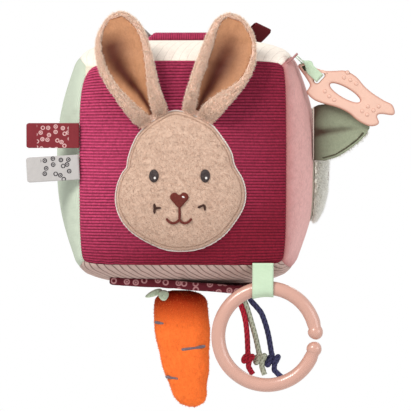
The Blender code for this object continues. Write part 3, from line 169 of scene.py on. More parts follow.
def wovenGroup():
    # Over and under threads: the product of two waves across each other, one thread apart; the tone is darker where the
    # threads dip, a painted shade
    tree, takes, gives = startGroup("plainWeave", (("Vector", "Vector", None), ("Pitch", "Float", 0.0006),
                                                   ("Ribbed", "Float", 0.0)), (("Tone", "Float"), ("Height", "Float")))
    parts = addNode(tree, "SeparateXYZ", {"Vector": takes["Vector"]}).outputs
    turn = calc(tree, "DIVIDE", math.pi, takes["Pitch"])
    along = calc(tree, "SINE", calc(tree, "MULTIPLY", parts[0], turn))
    across = calc(tree, "SINE", calc(tree, "MULTIPLY", parts[1], turn))
    plain = calc(tree, "ABSOLUTE", calc(tree, "MULTIPLY", along, across))
    ribbed = calc(tree, "ABSOLUTE", along)
    height = calc(tree, "ADD", calc(tree, "MULTIPLY", plain, calc(tree, "SUBTRACT", 1.0, takes["Ribbed"])),
                  calc(tree, "MULTIPLY", ribbed, takes["Ribbed"]))
    tree.links.new(between(tree, height, 0.0, 0.7, 0.78, 1.05), gives["Tone"])
    tree.links.new(height, gives["Height"])
    return tree


def ribGroup():
    # A rib from its count along the cloth: high in its middle, with a narrow shaded groove between ribs
    tree, takes, gives = startGroup("pileRib", (("Count", "Float", 0.0), ("Groove", "Float", 0.35)),
                                    (("Ridge", "Float"), ("Height", "Float")))
    wave = calc(tree, "ABSOLUTE", calc(tree, "SINE", calc(tree, "MULTIPLY", takes["Count"], math.pi)))
    tree.links.new(between(tree, wave, 0.0, takes["Groove"]), gives["Ridge"])
    tree.links.new(wave, gives["Height"])
    return tree


def paintedLightGroup():
    # Painted light and shade over the cloth: lit towards the upper left, shaded towards the right and below the middle,
    # broken up by a cloud
    tree, takes, gives = startGroup("paintedLightSlope", (("Vector", "Vector", None), ("Middle", "Float", 0.5)),
                                    (("Lit", "Float"),))
    parts = addNode(tree, "SeparateXYZ", {"Vector": takes["Vector"]}).outputs
    cloud = noise(tree, takes["Vector"], 55.0, 3.0, 0.6)
    low = calc(tree, "POWER", calc(tree, "MAXIMUM", calc(tree, "MULTIPLY", parts[1], -1.0), 0.0), 2.0)
    slope = calc(tree, "ADD", calc(tree, "MULTIPLY", parts[0], 6.5), calc(tree, "MULTIPLY", low, 160.0))
    lit = calc(tree, "ADD", calc(tree, "SUBTRACT", takes["Middle"], slope), calc(tree, "SUBTRACT", cloud, 0.5))
    tree.links.new(calc(tree, "ADD", lit, 0.0, clamp=True), gives["Lit"])
    return tree


def pileGroup():
    # Matted short fibres: cells stretched down the cloth, broken up by a fine cloud; the tone follows the height, a
    # painted shade in the low places
    tree, takes, gives = startGroup("fibrePile", (("Vector", "Vector", None), ("Scale", "Float", 900.0),
                                                  ("Amount", "Float", 0.3)), (("Tone", "Float"), ("Height", "Float")))
    warp = addNode(tree, "Mapping", {"Vector": takes["Vector"], "Scale": (1.0, 1.0, 0.45)}).outputs[0]
    cells = addNode(tree, "TexVoronoi", {"Vector": warp, "Scale": takes["Scale"]}).outputs["Distance"]
    cloud = noise(tree, takes["Vector"], calc(tree, "MULTIPLY", takes["Scale"], 0.35), 4.0, 0.7)
    height = calc(tree, "SUBTRACT", cloud, calc(tree, "MULTIPLY", cells, 0.6))
    swing = calc(tree, "MULTIPLY", calc(tree, "SUBTRACT", height, 0.15), takes["Amount"])
    tree.links.new(calc(tree, "ADD", swing, 1.0), gives["Tone"])
    tree.links.new(height, gives["Height"])
    return tree


def motifGroup():
    # Loose rings with a dot in every second one: the distance to the nearest of scattered points, cut to bands
    tree, takes, gives = startGroup("ringMotif", (("Vector", "Vector", None), ("Pitch", "Float", 0.004)),
                                    (("Mask", "Float"),))
    share = calc(tree, "DIVIDE", 1.0, takes["Pitch"])
    cells = addNode(tree, "TexVoronoi", {"Vector": takes["Vector"], "Scale": share, "Randomness": 0.55},
                    {"voronoi_dimensions": "2D"})
    distance, pick = cells.outputs["Distance"], cells.outputs["Color"]
    parts = addNode(tree, "SeparateColor", {"Color": pick}).outputs
    ringAt = calc(tree, "ABSOLUTE", calc(tree, "SUBTRACT", distance, 0.235))
    ring = between(tree, ringAt, 0.055, 0.085, 1.0, 0.0)
    dot = between(tree, distance, 0.085, 0.115, 1.0, 0.0)
    dot = calc(tree, "MULTIPLY", dot, calc(tree, "GREATER_THAN", parts[0], 0.45))
    tree.links.new(calc(tree, "MAXIMUM", ring, dot), gives["Mask"])
    return tree


def mouldedGroup():
    # Moulded skin: a very fine grain with a faint slow cloud
    tree, takes, gives = startGroup("mouldedSkin", (("Vector", "Vector", None), ("Amount", "Float", 0.06)),
                                    (("Tone", "Float"), ("Height", "Float")))
    slow = noise(tree, takes["Vector"], 60.0, 2.0)
    grain = noise(tree, takes["Vector"], 2600.0, 2.0)
    swing = calc(tree, "MULTIPLY", calc(tree, "SUBTRACT", slow, 0.5), takes["Amount"])
    tree.links.new(calc(tree, "ADD", swing, 1.0), gives["Tone"])
    tree.links.new(grain, gives["Height"])
    return tree


softMottle, plainWeave, pileRib = mottleGroup(), wovenGroup(), ribGroup()
fibrePile, ringMotif, mouldedSkin, paintedLightSlope = pileGroup(), motifGroup(), mouldedGroup(), paintedLightGroup()


def useGroup(tree, group, values):
    made = tree.nodes.new("ShaderNodeGroup")
    made.node_tree = group
    for key, value in values.items():
        if isinstance(value, bpy.types.NodeSocket):
            tree.links.new(value, made.inputs[key])
        else:
            made.inputs[key].default_value = value
    return made.outputs


def startFinish(name, roughness, sheen=0.0, sheenTint=(1.0, 1.0, 1.0, 1.0), coat=0.0, shine=0.2):
    material = bpy.data.materials.new(name)
    material.use_nodes = True
    tree = material.node_tree
    shader = tree.nodes["Principled BSDF"]
    shader.inputs["Roughness"].default_value = roughness
    shader.inputs["Sheen Weight"].default_value = sheen
    shader.inputs["Sheen Roughness"].default_value = 0.45
    shader.inputs["Sheen Tint"].default_value = sheenTint
    shader.inputs["Coat Weight"].default_value = coat
    shader.inputs["Coat Roughness"].default_value = 0.12
    shader.inputs["Specular IOR Level"].default_value = shine
    return material, tree, shader


def endFinish(tree, shader, colour, height, depth, strength=0.6):
    if isinstance(colour, bpy.types.NodeSocket):
        tree.links.new(colour, shader.inputs["Base Color"])
    else:
        shader.inputs["Base Color"].default_value = colour
    bump = addNode(tree, "Bump", {"Height": height, "Distance": depth, "Strength": strength})
    tree.links.new(bump.outputs[0], shader.inputs["Normal"])


def placeOf(tree):
    return addNode(tree, "TexCoord").outputs["Object"]


def clothOf(tree):
    # The piece's own measure along and across its cloth, in metres, with a count or a share in the third place; most
    # shares are painted shade
    return addNode(tree, "Attribute", settings={"attribute_name": "cloth"}).outputs["Vector"]


def toned(tree, colour, *tones):
    for swing in tones:
        grey = addNode(tree, "CombineColor", {0: swing, 1: swing, 2: swing}).outputs[0]
        colour = blendColour(tree, 1.0, colour, grey, "MULTIPLY")
    return colour


def ribbedFinish(name, ridge, groove, grooveWidth, sheen, depth=0.0004, away=None, grain=0.55, cloudy=0.35):
    # The groove's colour between ribs, a painted shade; on a rib, the ridge colour, turned towards away, its
    # painted-shade colour, by the painted light slope
    material, tree, shader = startFinish(name, 0.88, sheen, ridge)
    place, cloth = placeOf(tree), clothOf(tree)
    count = addNode(tree, "SeparateXYZ", {"Vector": cloth}).outputs[2]
    rib = useGroup(tree, pileRib, {"Count": count, "Groove": grooveWidth})
    pile = useGroup(tree, fibrePile, {"Vector": place, "Scale": 1500.0, "Amount": grain})
    cloud = useGroup(tree, softMottle, {"Vector": place, "Scale": 45.0, "Amount": cloudy})
    fleck = between(tree, noise(tree, place, 620.0, 1.0, 0.5), 0.36, 0.64, 1.0 - grain * 0.10, 1.0 + grain * 0.08)
    # Painted shade on the ridges: away is the shaded ridge colour
    if away:
        ridge = blendColour(tree, useGroup(tree, paintedLightSlope, {"Vector": cloth, "Middle": 0.5})["Lit"], away, ridge)
    colour = blendColour(tree, rib["Ridge"], groove, ridge)
    endFinish(tree, shader, toned(tree, colour, pile["Tone"], cloud["Tone"], fleck), pile["Height"], depth, 0.7)
    return material


def pileFinish(name, light, dark, scale, sheen, tint, depth=0.0006, spots=0.5, roughness=0.92, swing=0.5):
    material, tree, shader = startFinish(name, roughness, sheen, tint)
    place = placeOf(tree)
    pile = useGroup(tree, fibrePile, {"Vector": place, "Scale": scale, "Amount": swing})
    cloud = useGroup(tree, softMottle, {"Vector": place, "Scale": scale * 0.16, "Amount": swing})
    spot = between(tree, noise(tree, place, scale * 0.22, 3.0, 0.65), 0.42, 0.66)
    # The third place of the cloth measure blends towards the dark colour: painted shade
    shade = addNode(tree, "SeparateXYZ", {"Vector": clothOf(tree)}).outputs[2]
    colour = blendColour(tree, calc(tree, "MULTIPLY", spot, spots), light, dark)
    colour = blendColour(tree, shade, colour, dark)
    endFinish(tree, shader, toned(tree, colour, pile["Tone"], cloud["Tone"]), pile["Height"], depth, 0.8)
    return material


def strandFinish(name, light, dark):
    # Single fibres: darker at the root, a painted shade within the pile, each with its own tone
    material, tree, shader = startFinish(name, 0.7, 0.3, light)
    parts = addNode(tree, "SeparateXYZ", {"Vector": clothOf(tree)}).outputs
    colour = blendColour(tree, between(tree, parts[1], 0.0, 0.8), dark, light)
    swing = calc(tree, "ADD", calc(tree, "MULTIPLY", parts[0], 0.35), 0.83)
    grain = noise(tree, placeOf(tree), 2500.0)
    endFinish(tree, shader, toned(tree, colour, swing), grain, 0.0001, 0.3)
    return material


def clothFinish(name, base, pitch, ribbed, roughness, sheen, printed=None, motif=0.004, cloud=0.25, coat=0.0,
                zone=None):
    material, tree, shader = startFinish(name, roughness, sheen, base, coat)
    place, cloth = placeOf(tree), clothOf(tree)
    weave = useGroup(tree, plainWeave, {"Vector": cloth, "Pitch": pitch, "Ribbed": ribbed})
    mottle = useGroup(tree, softMottle, {"Vector": place, "Scale": 70.0, "Amount": cloud})
    colour = base
    if printed:
        mask = useGroup(tree, ringMotif, {"Vector": cloth, "Pitch": motif})["Mask"]
        worn = between(tree, noise(tree, place, 900.0, 2.0), 0.3, 0.5, 0.7, 1.0)
        mask = calc(tree, "MULTIPLY", mask, worn)
        if zone:
            # The print keeps to one stretch of the ribbon
            along = addNode(tree, "SeparateXYZ", {"Vector": cloth}).outputs[0]
            mask = calc(tree, "MULTIPLY", mask, between(tree, along, zone[0], zone[0] + 0.0006))
            mask = calc(tree, "MULTIPLY", mask, between(tree, along, zone[1], zone[1] + 0.0006, 1.0, 0.0))
        colour = blendColour(tree, mask, base, printed)
    endFinish(tree, shader, toned(tree, colour, weave["Tone"], mottle["Tone"]), weave["Height"], pitch * 0.5, 0.5)
    return material


def threadFinish(name, base, glint):
    # Satin stitch: fine parallel threads across the shape
    material, tree, shader = startFinish(name, 0.5, 0.05, glint)
    cloth = clothOf(tree)
    weave = useGroup(tree, plainWeave, {"Vector": cloth, "Pitch": 0.00045, "Ribbed": 1.0})
    cloud = noise(tree, placeOf(tree), 700.0, 2.0)
    colour = blendColour(tree, between(tree, cloud, 0.45, 0.75, 0.0, 0.35), base, glint)
    endFinish(tree, shader, toned(tree, colour, weave["Tone"]), weave["Height"], 0.0002, 0.7)
    return material


def mouldedFinish(name, base, roughness, coat, depth=0.00004, rim=None):
    material, tree, shader = startFinish(name, roughness, 0.0, base, coat, 0.5)
    skinGrain = useGroup(tree, mouldedSkin, {"Vector": placeOf(tree), "Amount": 0.08})
    rough = calc(tree, "ADD", calc(tree, "MULTIPLY", skinGrain["Height"], 0.12), roughness - 0.06)
    tree.links.new(rough, shader.inputs["Roughness"])
    colour = base
    # rim: the colour of painted shade, blended in by the cloth measure's third place
    if rim:
        colour = blendColour(tree, addNode(tree, "SeparateXYZ", {"Vector": clothOf(tree)}).outputs[2], base, rim)
    endFinish(tree, shader, toned(tree, colour, skinGrain["Tone"]), skinGrain["Height"], depth, 0.4)
    return material


def braidFinish(name, light, dark):
    # Two sets of strands wound opposite ways: the third place of the cloth measure holds the strand's height, and the
    # low places take the dark colour, a painted shade
    material, tree, shader = startFinish(name, 0.72, 0.15, light)
    parts = addNode(tree, "SeparateXYZ", {"Vector": clothOf(tree)}).outputs
    grain = noise(tree, placeOf(tree), 3200.0, 2.0)
    colour = blendColour(tree, between(tree, parts[2], 0.1, 0.75), dark, light)
    swing = between(tree, grain, 0.3, 0.7, 0.85, 1.1)
    endFinish(tree, shader, toned(tree, colour, swing), grain, 0.0001, 0.5)
    return material


def filmFinish(name):
    material, tree, shader = startFinish(name, 0.2)
    shader.inputs["Transmission Weight"].default_value = 0.6
    mottle = useGroup(tree, softMottle, {"Vector": placeOf(tree), "Scale": 220.0, "Amount": 0.1})
    endFinish(tree, shader, toned(tree, tone(225, 228, 230), mottle["Tone"]), mottle["Height"], 0.0005, 0.8)
    return material


def foamFinish(name, base):
    material, tree, shader = startFinish(name, 0.95, 0.1, base)
    place = placeOf(tree)
    cells = addNode(tree, "TexVoronoi", {"Vector": place, "Scale": 1100.0}).outputs["Distance"]
    mottle = useGroup(tree, softMottle, {"Vector": place, "Scale": 90.0, "Amount": 0.2})
    shade = between(tree, cells, 0.0, 0.6, 0.75, 1.0)
    endFinish(tree, shader, toned(tree, base, mottle["Tone"], shade), cells, 0.0005, 0.7)
    return material


finishes = {
    # away: the corduroy ridge's painted-shade colour, towards the right and the bottom
    "raspberry": ribbedFinish("raspberryCorduroy", tone(194, 70, 110), tone(72, 6, 28), 0.76, 0.10,
                              away=tone(120, 20, 40), grain=0.8),
    "cream": ribbedFinish("creamWideWale", tone(247, 236, 224), tone(214, 200, 188), 0.16, 0.15, grain=0.2,
                          cloudy=0.12),
    # The bottom panel's cream wale, cut on the bias: darker colours, a painted shade on the underside
    "creamBiasShaded": ribbedFinish("creamBiasWale", tone(190, 164, 155), tone(112, 88, 82), 0.55, 0.10, grain=0.3),
    "jersey": clothFinish("sageJersey", tone(196, 206, 188), 0.0009, 0.6, 0.9, 0.15, cloud=0.12),
    "pinkVelour": pileFinish("pinkVelour", tone(222, 172, 168), tone(160, 92, 92), 1500.0, 0.5, tone(250, 214, 208),
                             0.0003, 0.15, 0.85, 0.3),
    "plush": pileFinish("beigePlush", tone(206, 176, 156), tone(160, 122, 100), 1600.0, 0.2, tone(250, 228, 208),
                        0.0004, 0.20, 0.92, 0.24),
    "plushStrand": strandFinish("beigeFibre", tone(222, 194, 176), tone(186, 150, 130)),
    # The ears' plush and fibres: lighter copies of the head's plush, a painted light on the ears
    "earPlush": pileFinish("litBeigePlush", tone(236, 202, 184), tone(190, 148, 126), 1100.0, 0.3,
                           tone(255, 236, 222), 0.0006, 0.30, 0.92, 0.35),
    "earStrand": strandFinish("litBeigeFibre", tone(252, 230, 212), tone(236, 200, 172)),
    "edging": clothFinish("creamSatinEdging", tone(250, 234, 222), 0.0005, 1.0, 0.6, 0.3, cloud=0.1),
    "satin": pileFinish("peachSatin", tone(184, 132, 96), tone(74, 26, 12), 1900.0, 0.12, tone(230, 180, 140),
                        0.00012, 0.08, 0.6, 0.3),
    "darkThread": threadFinish("charcoalThread", tone(56, 46, 46), tone(104, 94, 92)),
    "brownThread": threadFinish("redBrownThread", tone(98, 36, 28), tone(134, 68, 56)),
    "whiteThread": threadFinish("whiteThread", tone(232, 226, 222), tone(250, 248, 246)),
    "redRibbon": clothFinish("redRibbon", tone(124, 38, 46), 0.0007, 0.5, 0.6, 0.08, tone(214, 172, 170), 0.0042,
                             zone=(0.0060, 0.0250)),
    "greyRibbon": clothFinish("greyRibbon", tone(186, 182, 180), 0.0007, 0.5, 0.6, 0.10, tone(30, 22, 32), 0.0046,
                              zone=(0.0035, 0.0225)),
    "plainRedRibbon": clothFinish("plainRedRibbon", tone(88, 10, 20), 0.0007, 0.5, 0.75, 0.0),
    "plainGreyRibbon": clothFinish("plainGreyRibbon", tone(130, 124, 120), 0.0007, 0.5, 0.6, 0.05),
    "mintRibbon": clothFinish("mintRibbon", tone(193, 215, 186), 0.0006, 1.0, 0.5, 0.2),
    "mauveRibbon": clothFinish("mauveTape", tone(176, 124, 122), 0.0006, 1.0, 0.6, 0.2),
    "silicone": mouldedFinish("peachSilicone", tone(218, 178, 160), 0.5, 0.05, rim=tone(190, 132, 112)),
    "ring": mouldedFinish("peachPlastic", tone(198, 152, 136), 0.26, 0.40),
    "fluff": pileFinish("paleFluff", tone(250, 246, 234), tone(200, 196, 180), 700.0, 0.4, tone(250, 250, 240),
                        0.0006, 0.3, 0.92, 0.3),
    "fluffStrand": strandFinish("paleFibre", tone(252, 250, 242), tone(214, 210, 194)),
    "sageSatin": pileFinish("sageSatin", tone(142, 150, 126), tone(58, 38, 26), 1900.0, 0.2, tone(190, 196, 176),
                            0.00012, 0.06, 0.5, 0.3),
    "printedCotton": clothFinish("printedCotton", tone(98, 28, 40), 0.0006, 0.0, 0.85, 0.05, tone(190, 136, 138),
                                 0.0062, 0.5),
    "carrot": pileFinish("orangeVelour", tone(248, 120, 50), tone(172, 36, 4), 1700.0, 0.10, tone(255, 180, 120),
                         0.0003, 0.10, 0.92, 0.16),
    "carrotStrand": strandFinish("orangeFibre", tone(255, 150, 76), tone(232, 96, 36)),
    "leaf": pileFinish("mintFelt", tone(204, 220, 192), tone(160, 178, 150), 1600.0, 0.3, tone(235, 245, 225), 0.0003),
    "redCord": braidFinish("redCord", tone(166, 26, 46), tone(112, 12, 26)),
    "sageCord": braidFinish("sageCord", tone(176, 180, 160), tone(128, 132, 112)),
    "navyCord": braidFinish("navyCord", tone(58, 58, 92), tone(30, 30, 54)),
    "film": filmFinish("crinkleFilm"),
    "foam": foamFinish("creamFoam", tone(232, 226, 206)),
    "rattleShell": mouldedFinish("rattleShell", tone(214, 216, 222), 0.35, 0.2),
    "bead": mouldedFinish("rattleBead", tone(214, 132, 60), 0.3, 0.3),
}
print("finishes:", len(finishes))


def setStage():
    # A pale floor well below, and an even white all round where the camera or a gloss looks
    material, tree, shader = startFinish("paleFloor", 0.8)
    grain = noise(tree, placeOf(tree), 30.0)
    endFinish(tree, shader, (0.86, 0.86, 0.86, 1.0), grain, 0.001, 0.1)
    half = view["floorSize"] / 2
    low = blockCentre[2] - view["floorDrop"]
    mesh = bpy.data.meshes.new("paleFloor")
    mesh.from_pydata([(-half, -half, low), (half, -half, low), (half, half, low), (-half, half, low)], [],
                     [(0, 1, 2, 3)])
    mesh.materials.append(material)
    floor = bpy.data.objects.new("paleFloor", mesh)
    scene.collection.objects.link(floor)

    world = bpy.data.worlds.new("softStudio")
    scene.world = world
    world.use_nodes = True
    tree = world.node_tree
    background = tree.nodes["Background"]
    path = tree.nodes.new("ShaderNodeLightPath").outputs
    seen = calc(tree, "MAXIMUM", path["Is Camera Ray"],
                calc(tree, "MAXIMUM", path["Is Glossy Ray"], path["Is Transmission Ray"]))
    strength = calc(tree, "ADD", calc(tree, "MULTIPLY", seen, 1.0 - view["daylight"]), view["daylight"])
    background.inputs["Color"].default_value = (1.0, 1.0, 1.0, 1.0)
    tree.links.new(strength, background.inputs["Strength"])


setStage()


# Curves, grids and closed shells

def eased(share):
    share = np.clip(share, 0.0, 1.0)
    return share * share * (3 - 2 * share)


def tableValue(table, share):
    places, values = np.array(table).T
    return np.interp(share, places, values)


def resample(points, count, axis=0, closed=False, places=None):
    # Catmull-Rom curve through the given rows, read at evenly spaced places
    rows = np.moveaxis(np.asarray(points, dtype=float), axis, 0)
    size = len(rows)
    if places is None:
        places = np.linspace(0.0, size if closed else size - 1, count, endpoint=not closed)
    start = np.floor(places).astype(int)
    if not closed:
        start = np.clip(start, 0, size - 2)
    share = (places - start).reshape((-1,) + (1,) * (rows.ndim - 1))

    def row(step):
        if closed:
            return rows[(start + step) % size]
        wanted = start + step
        inside = rows[np.clip(wanted, 0, size - 1)]
        before = (wanted < 0).reshape(share.shape) * (rows[0] - rows[1])
        after = (wanted > size - 1).reshape(share.shape) * (rows[-1] - rows[-2])
        return inside + before + after
    one, two, three, four = row(-1), row(0), row(1), row(2)
    found = 0.5 * (2 * two + (three - one) * share + (2 * one - 5 * two + 4 * three - four) * share ** 2
                   + (3 * two - one - 3 * three + four) * share ** 3)
    return np.moveaxis(found, 0, axis)


def smoothLine(points, count, closed=False):
    # The curve through the points, walked at even steps of its own length
    fine = resample(points, 16 * len(points), closed=closed)
    if closed:
        fine = np.vstack((fine, fine[:1]))
    run = np.concatenate(([0.0], np.cumsum(np.linalg.norm(np.diff(fine, axis=0), axis=1))))
    wanted = np.linspace(0.0, run[-1], count + 1 if closed else count)
    line = np.column_stack([np.interp(wanted, run, fine[:, axis]) for axis in range(fine.shape[1])])
    return line[:-1] if closed else line


def ripple(points, wave, seed, count=7):
    # A smooth cloud between -1 and 1: waves of about one length in seeded directions, added up
    rng = np.random.default_rng(seed)
    total = np.zeros(points.shape[:-1])
    for _ in range(count):
        direction = rng.normal(size=points.shape[-1])
        direction /= np.linalg.norm(direction)
        total += np.sin(points @ direction * (2 * math.pi / (wave * rng.uniform(0.7, 1.4))) + rng.uniform(0.0, 6.28))
    return total / count * 1.6


def gridFaces(rows, columns, start=0, wrap=False):
    row, column = np.meshgrid(np.arange(rows - 1), np.arange(columns if wrap else columns - 1), indexing="ij")
    first = start + row * columns + column
    beside = start + row * columns + (column + 1) % columns
    return np.stack((first, beside, beside + columns, first + columns), axis=-1).reshape(-1, 4)


def gridNormals(grid, wrap=False):
    # The surface's direction: the cross product of its two slopes
    slopes = []
    for axis in (0, 1):
        if wrap and axis == 1:
            slopes.append(np.roll(grid, -1, axis=1) - np.roll(grid, 1, axis=1))
        else:
            slopes.append(np.gradient(grid, axis=axis))
    normals = np.cross(slopes[0], slopes[1])
    return normals / np.maximum(np.linalg.norm(normals, axis=-1, keepdims=True), 1e-12)


def borderOf(rows, columns):
    top = [(0, column) for column in range(columns)]
    right = [(row, columns - 1) for row in range(1, rows)]
    bottom = [(rows - 1, column) for column in range(columns - 2, -1, -1)]
    left = [(row, 0) for row in range(rows - 2, 0, -1)]
    return np.array([row * columns + column for row, column in top + right + bottom + left])


def joinRings(rings):
    # Quads between rings given as lists of vertex numbers
    faces = []
    for one, two in zip(rings, rings[1:]):
        faces.append(np.stack((one, np.roll(one, -1), np.roll(two, -1), two), axis=-1))
    return np.concatenate(faces)


def fan(ring, centre):
    return np.stack((ring, np.roll(ring, -1), np.full(len(ring), centre)), axis=-1)


def makePiece(name, points, faceSets, finish, body=None, nodes=(), cloth=None, blend=None, smooth=None,
              merge=True):
    # One mesh with its place in its vertices; its faces are turned outwards after its doubles are merged
    mesh = bpy.data.meshes.new(name)
    mesh.from_pydata((points + blockCentre).tolist(), [], [face for faces in faceSets for face in faces.tolist()])
    if cloth is not None:
        measure = mesh.attributes.new("cloth", "FLOAT_VECTOR", "POINT")
        measure.data.foreach_set("vector", np.asarray(cloth, dtype=np.float32).ravel())
    if merge:
        work = bmesh.new()
        work.from_mesh(mesh)
        bmesh.ops.remove_doubles(work, verts=work.verts, dist=1e-6)
        bmesh.ops.recalc_face_normals(work, faces=work.faces)
        work.to_mesh(mesh)
        work.free()
    mesh.shade_smooth()
    if smooth:
        mesh.set_sharp_from_angle(angle=math.radians(smooth))
    mesh.materials.append(finishes[finish])
    piece = bpy.data.objects.new(name, mesh)
    scene.collection.objects.link(piece)
    if blend:
        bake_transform(piece)
    else:
        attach(piece, body)
    if nodes:
        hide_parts(*nodes)
    return piece


def sheetShell(outer, inner, wrap=False):
    # A closed sheet between two grids of one shape; a wrapped grid is closed at its two open rims
    rows, columns = outer.shape[:2]
    points = np.vstack((outer.reshape(-1, 3), inner.reshape(-1, 3)))
    below = rows * columns
    faces = [gridFaces(rows, columns, 0, wrap), gridFaces(rows, columns, below, wrap)[:, ::-1]]
    if wrap:
        for rim in (np.arange(columns), below - columns + np.arange(columns)):
            faces.append(joinRings((rim, rim + below)))
    else:
        rim = borderOf(rows, columns)
        faces.append(joinRings((rim, rim + below)))
    return points, faces


def tubeShell(rings):
    # Rings of points joined into a tube, closed at each end on its own middle
    count, sides = rings.shape[:2]
    ends = np.array((rings[0].mean(axis=0), rings[-1].mean(axis=0)))
    points = np.vstack((rings.reshape(-1, 3), ends))
    numbers = np.arange(count * sides).reshape(count, sides)
    return points, [gridFaces(count, sides, 0, True), fan(numbers[0], count * sides)[:, ::-1],
                    fan(numbers[-1], count * sides + 1)]


def tubeRings(line, radii, sides, flat=(1.0, 1.0), sideAxis=(0.0, 1.0, 0.0)):
    # A ring of points round each place of a line, squared to its run; flat widens it along and across one axis
    line = np.asarray(line, dtype=float)
    along = np.gradient(line, axis=0)
    along /= np.linalg.norm(along, axis=1)[:, None]
    first = np.asarray(sideAxis) - along * (along @ np.asarray(sideAxis))[:, None]
    first /= np.linalg.norm(first, axis=1)[:, None]
    second = np.cross(along, first)
    turn = np.linspace(0.0, 2 * math.pi, sides, endpoint=False)
    radii = np.broadcast_to(radii, (len(line), sides) if np.ndim(radii) == 2 else (len(line),))
    radii = radii[..., None] if radii.ndim == 2 else radii[:, None, None]
    return (line[:, None] + radii * (flat[0] * np.cos(turn)[None, :, None] * first[:, None]
                                     + flat[1] * np.sin(turn)[None, :, None] * second[:, None]))


def settle(grid, pressure, growth, cap, held=None, wrap=False, frames=20):
    # Cloth simulation of a grid of points under gas pressure, its rim held; returns how far each point moved,
    # capped. It runs ten times larger than life, where the solver is steadier
    rows, columns = grid.shape[:2]
    scale = 10.0
    mesh = bpy.data.meshes.new("settling")
    mesh.from_pydata((grid.reshape(-1, 3) * scale).tolist(), [], gridFaces(rows, columns, 0, wrap)[:, ::-1].tolist())
    thing = bpy.data.objects.new("settling", mesh)
    scene.collection.objects.link(thing)
    rim = borderOf(rows, columns) if held is None else held
    group = thing.vertex_groups.new(name="held")
    group.add([int(place) for place in rim], 1.0, "REPLACE")
    cloth = thing.modifiers.new("cloth", "CLOTH")
    cloth.settings.quality = 6
    cloth.settings.mass = 0.2
    cloth.settings.tension_stiffness = 25.0
    cloth.settings.compression_stiffness = 25.0
    cloth.settings.shear_stiffness = 8.0
    cloth.settings.bending_stiffness = 0.4
    cloth.settings.use_pressure = True
    cloth.settings.uniform_pressure_force = pressure
    cloth.settings.shrink_min = -growth
    cloth.settings.vertex_group_mass = "held"
    cloth.settings.effector_weights.gravity = 0.0
    cloth.collision_settings.use_collision = False
    cloth.point_cache.frame_start = 1
    cloth.point_cache.frame_end = frames
    for step in range(1, frames + 1):
        scene.frame_set(step)
    shown = thing.evaluated_get(bpy.context.evaluated_depsgraph_get()).to_mesh()
    found = np.zeros(len(shown.vertices) * 3)
    shown.vertices.foreach_get("co", found)
    bpy.data.objects.remove(thing, do_unlink=True)
    scene.frame_set(1)
    moved = found.reshape(grid.shape) / scale - grid
    far = np.linalg.norm(moved, axis=-1, keepdims=True)
    return moved * np.minimum(1.0, cap / np.maximum(far, 1e-9))


def strands(name, roots, normals, settings, finish, body=None, blend=None):
    # Loose fibres: each a thin three-sided spike, bent over in the middle, leaning from the surface's direction
    rng = np.random.default_rng(settings["seed"])
    count = len(roots)
    lean = np.asarray(settings["lean"]) + rng.normal(scale=settings["spread"], size=(count, 3))
    direction = normals + lean
    direction /= np.linalg.norm(direction, axis=1, keepdims=True)
    side = np.cross(direction, rng.normal(size=(count, 3)))
    side /= np.linalg.norm(side, axis=1, keepdims=True)
    other = np.cross(direction, side)
    length = settings["length"] * rng.uniform(0.55, 1.15, size=(count, 1))
    width = settings["width"] * rng.uniform(0.7, 1.2, size=(count, 1))
    droop = np.asarray(settings["droop"]) * length
    turns = 2 * math.pi / 3 * np.arange(3)
    rings = []
    for share, thick in ((0.0, 1.0), (0.55, 0.8)):
        middle = roots + direction * length * share + droop * share ** 2 - normals * width * (share == 0)
        rings += [middle + width * thick * (math.cos(turn) * side + math.sin(turn) * other) for turn in turns]
    tip = roots + direction * length + droop
    points = np.stack(rings + [tip], axis=1).reshape(-1, 3)
    first = (np.arange(count) * 7)[:, None]
    sides = np.array(((0, 1, 4, 3), (1, 2, 5, 4), (2, 0, 3, 5)))
    caps = np.array(((2, 1, 0), (3, 4, 6), (4, 5, 6), (5, 3, 6)))
    own = rng.uniform(size=(count, 1))
    level = np.array((0.0, 0.0, 0.0, 0.55, 0.55, 0.55, 1.0))
    measure = np.stack((np.repeat(own, 7, axis=1), np.tile(level, (count, 1)), np.zeros((count, 7))), axis=-1)
    return makePiece(name, points, [(first[:, :, None] + sides[None]).reshape(-1, 4),
                                    (first[:, :, None] + caps[None]).reshape(-1, 3)],
                     finish, body, cloth=measure.reshape(-1, 3), blend=blend, merge=False)


def scatter(grid, normals, count, seed, allowed=None):
    # Seeded places on a grid surface, spread by area, with the surface's direction at each
    rng = np.random.default_rng(seed)
    area = np.linalg.norm(np.cross(grid[1:, :-1] - grid[:-1, :-1], grid[:-1, 1:] - grid[:-1, :-1]), axis=-1)
    if allowed is not None:
        area = area * allowed[:-1, :-1]
    pick = rng.choice(area.size, size=count, p=(area / area.sum()).ravel())
    row, column = np.unravel_index(pick, area.shape)
    down, over = rng.uniform(size=(2, count, 1))

    def mixed(values):
        return ((1 - down) * ((1 - over) * values[row, column] + over * values[row, column + 1])
                + down * ((1 - over) * values[row + 1, column] + over * values[row + 1, column + 1]))
    facing = mixed(normals)
    return mixed(grid), facing / np.maximum(np.linalg.norm(facing, axis=1, keepdims=True), 1e-9)


# The block's puffed surface

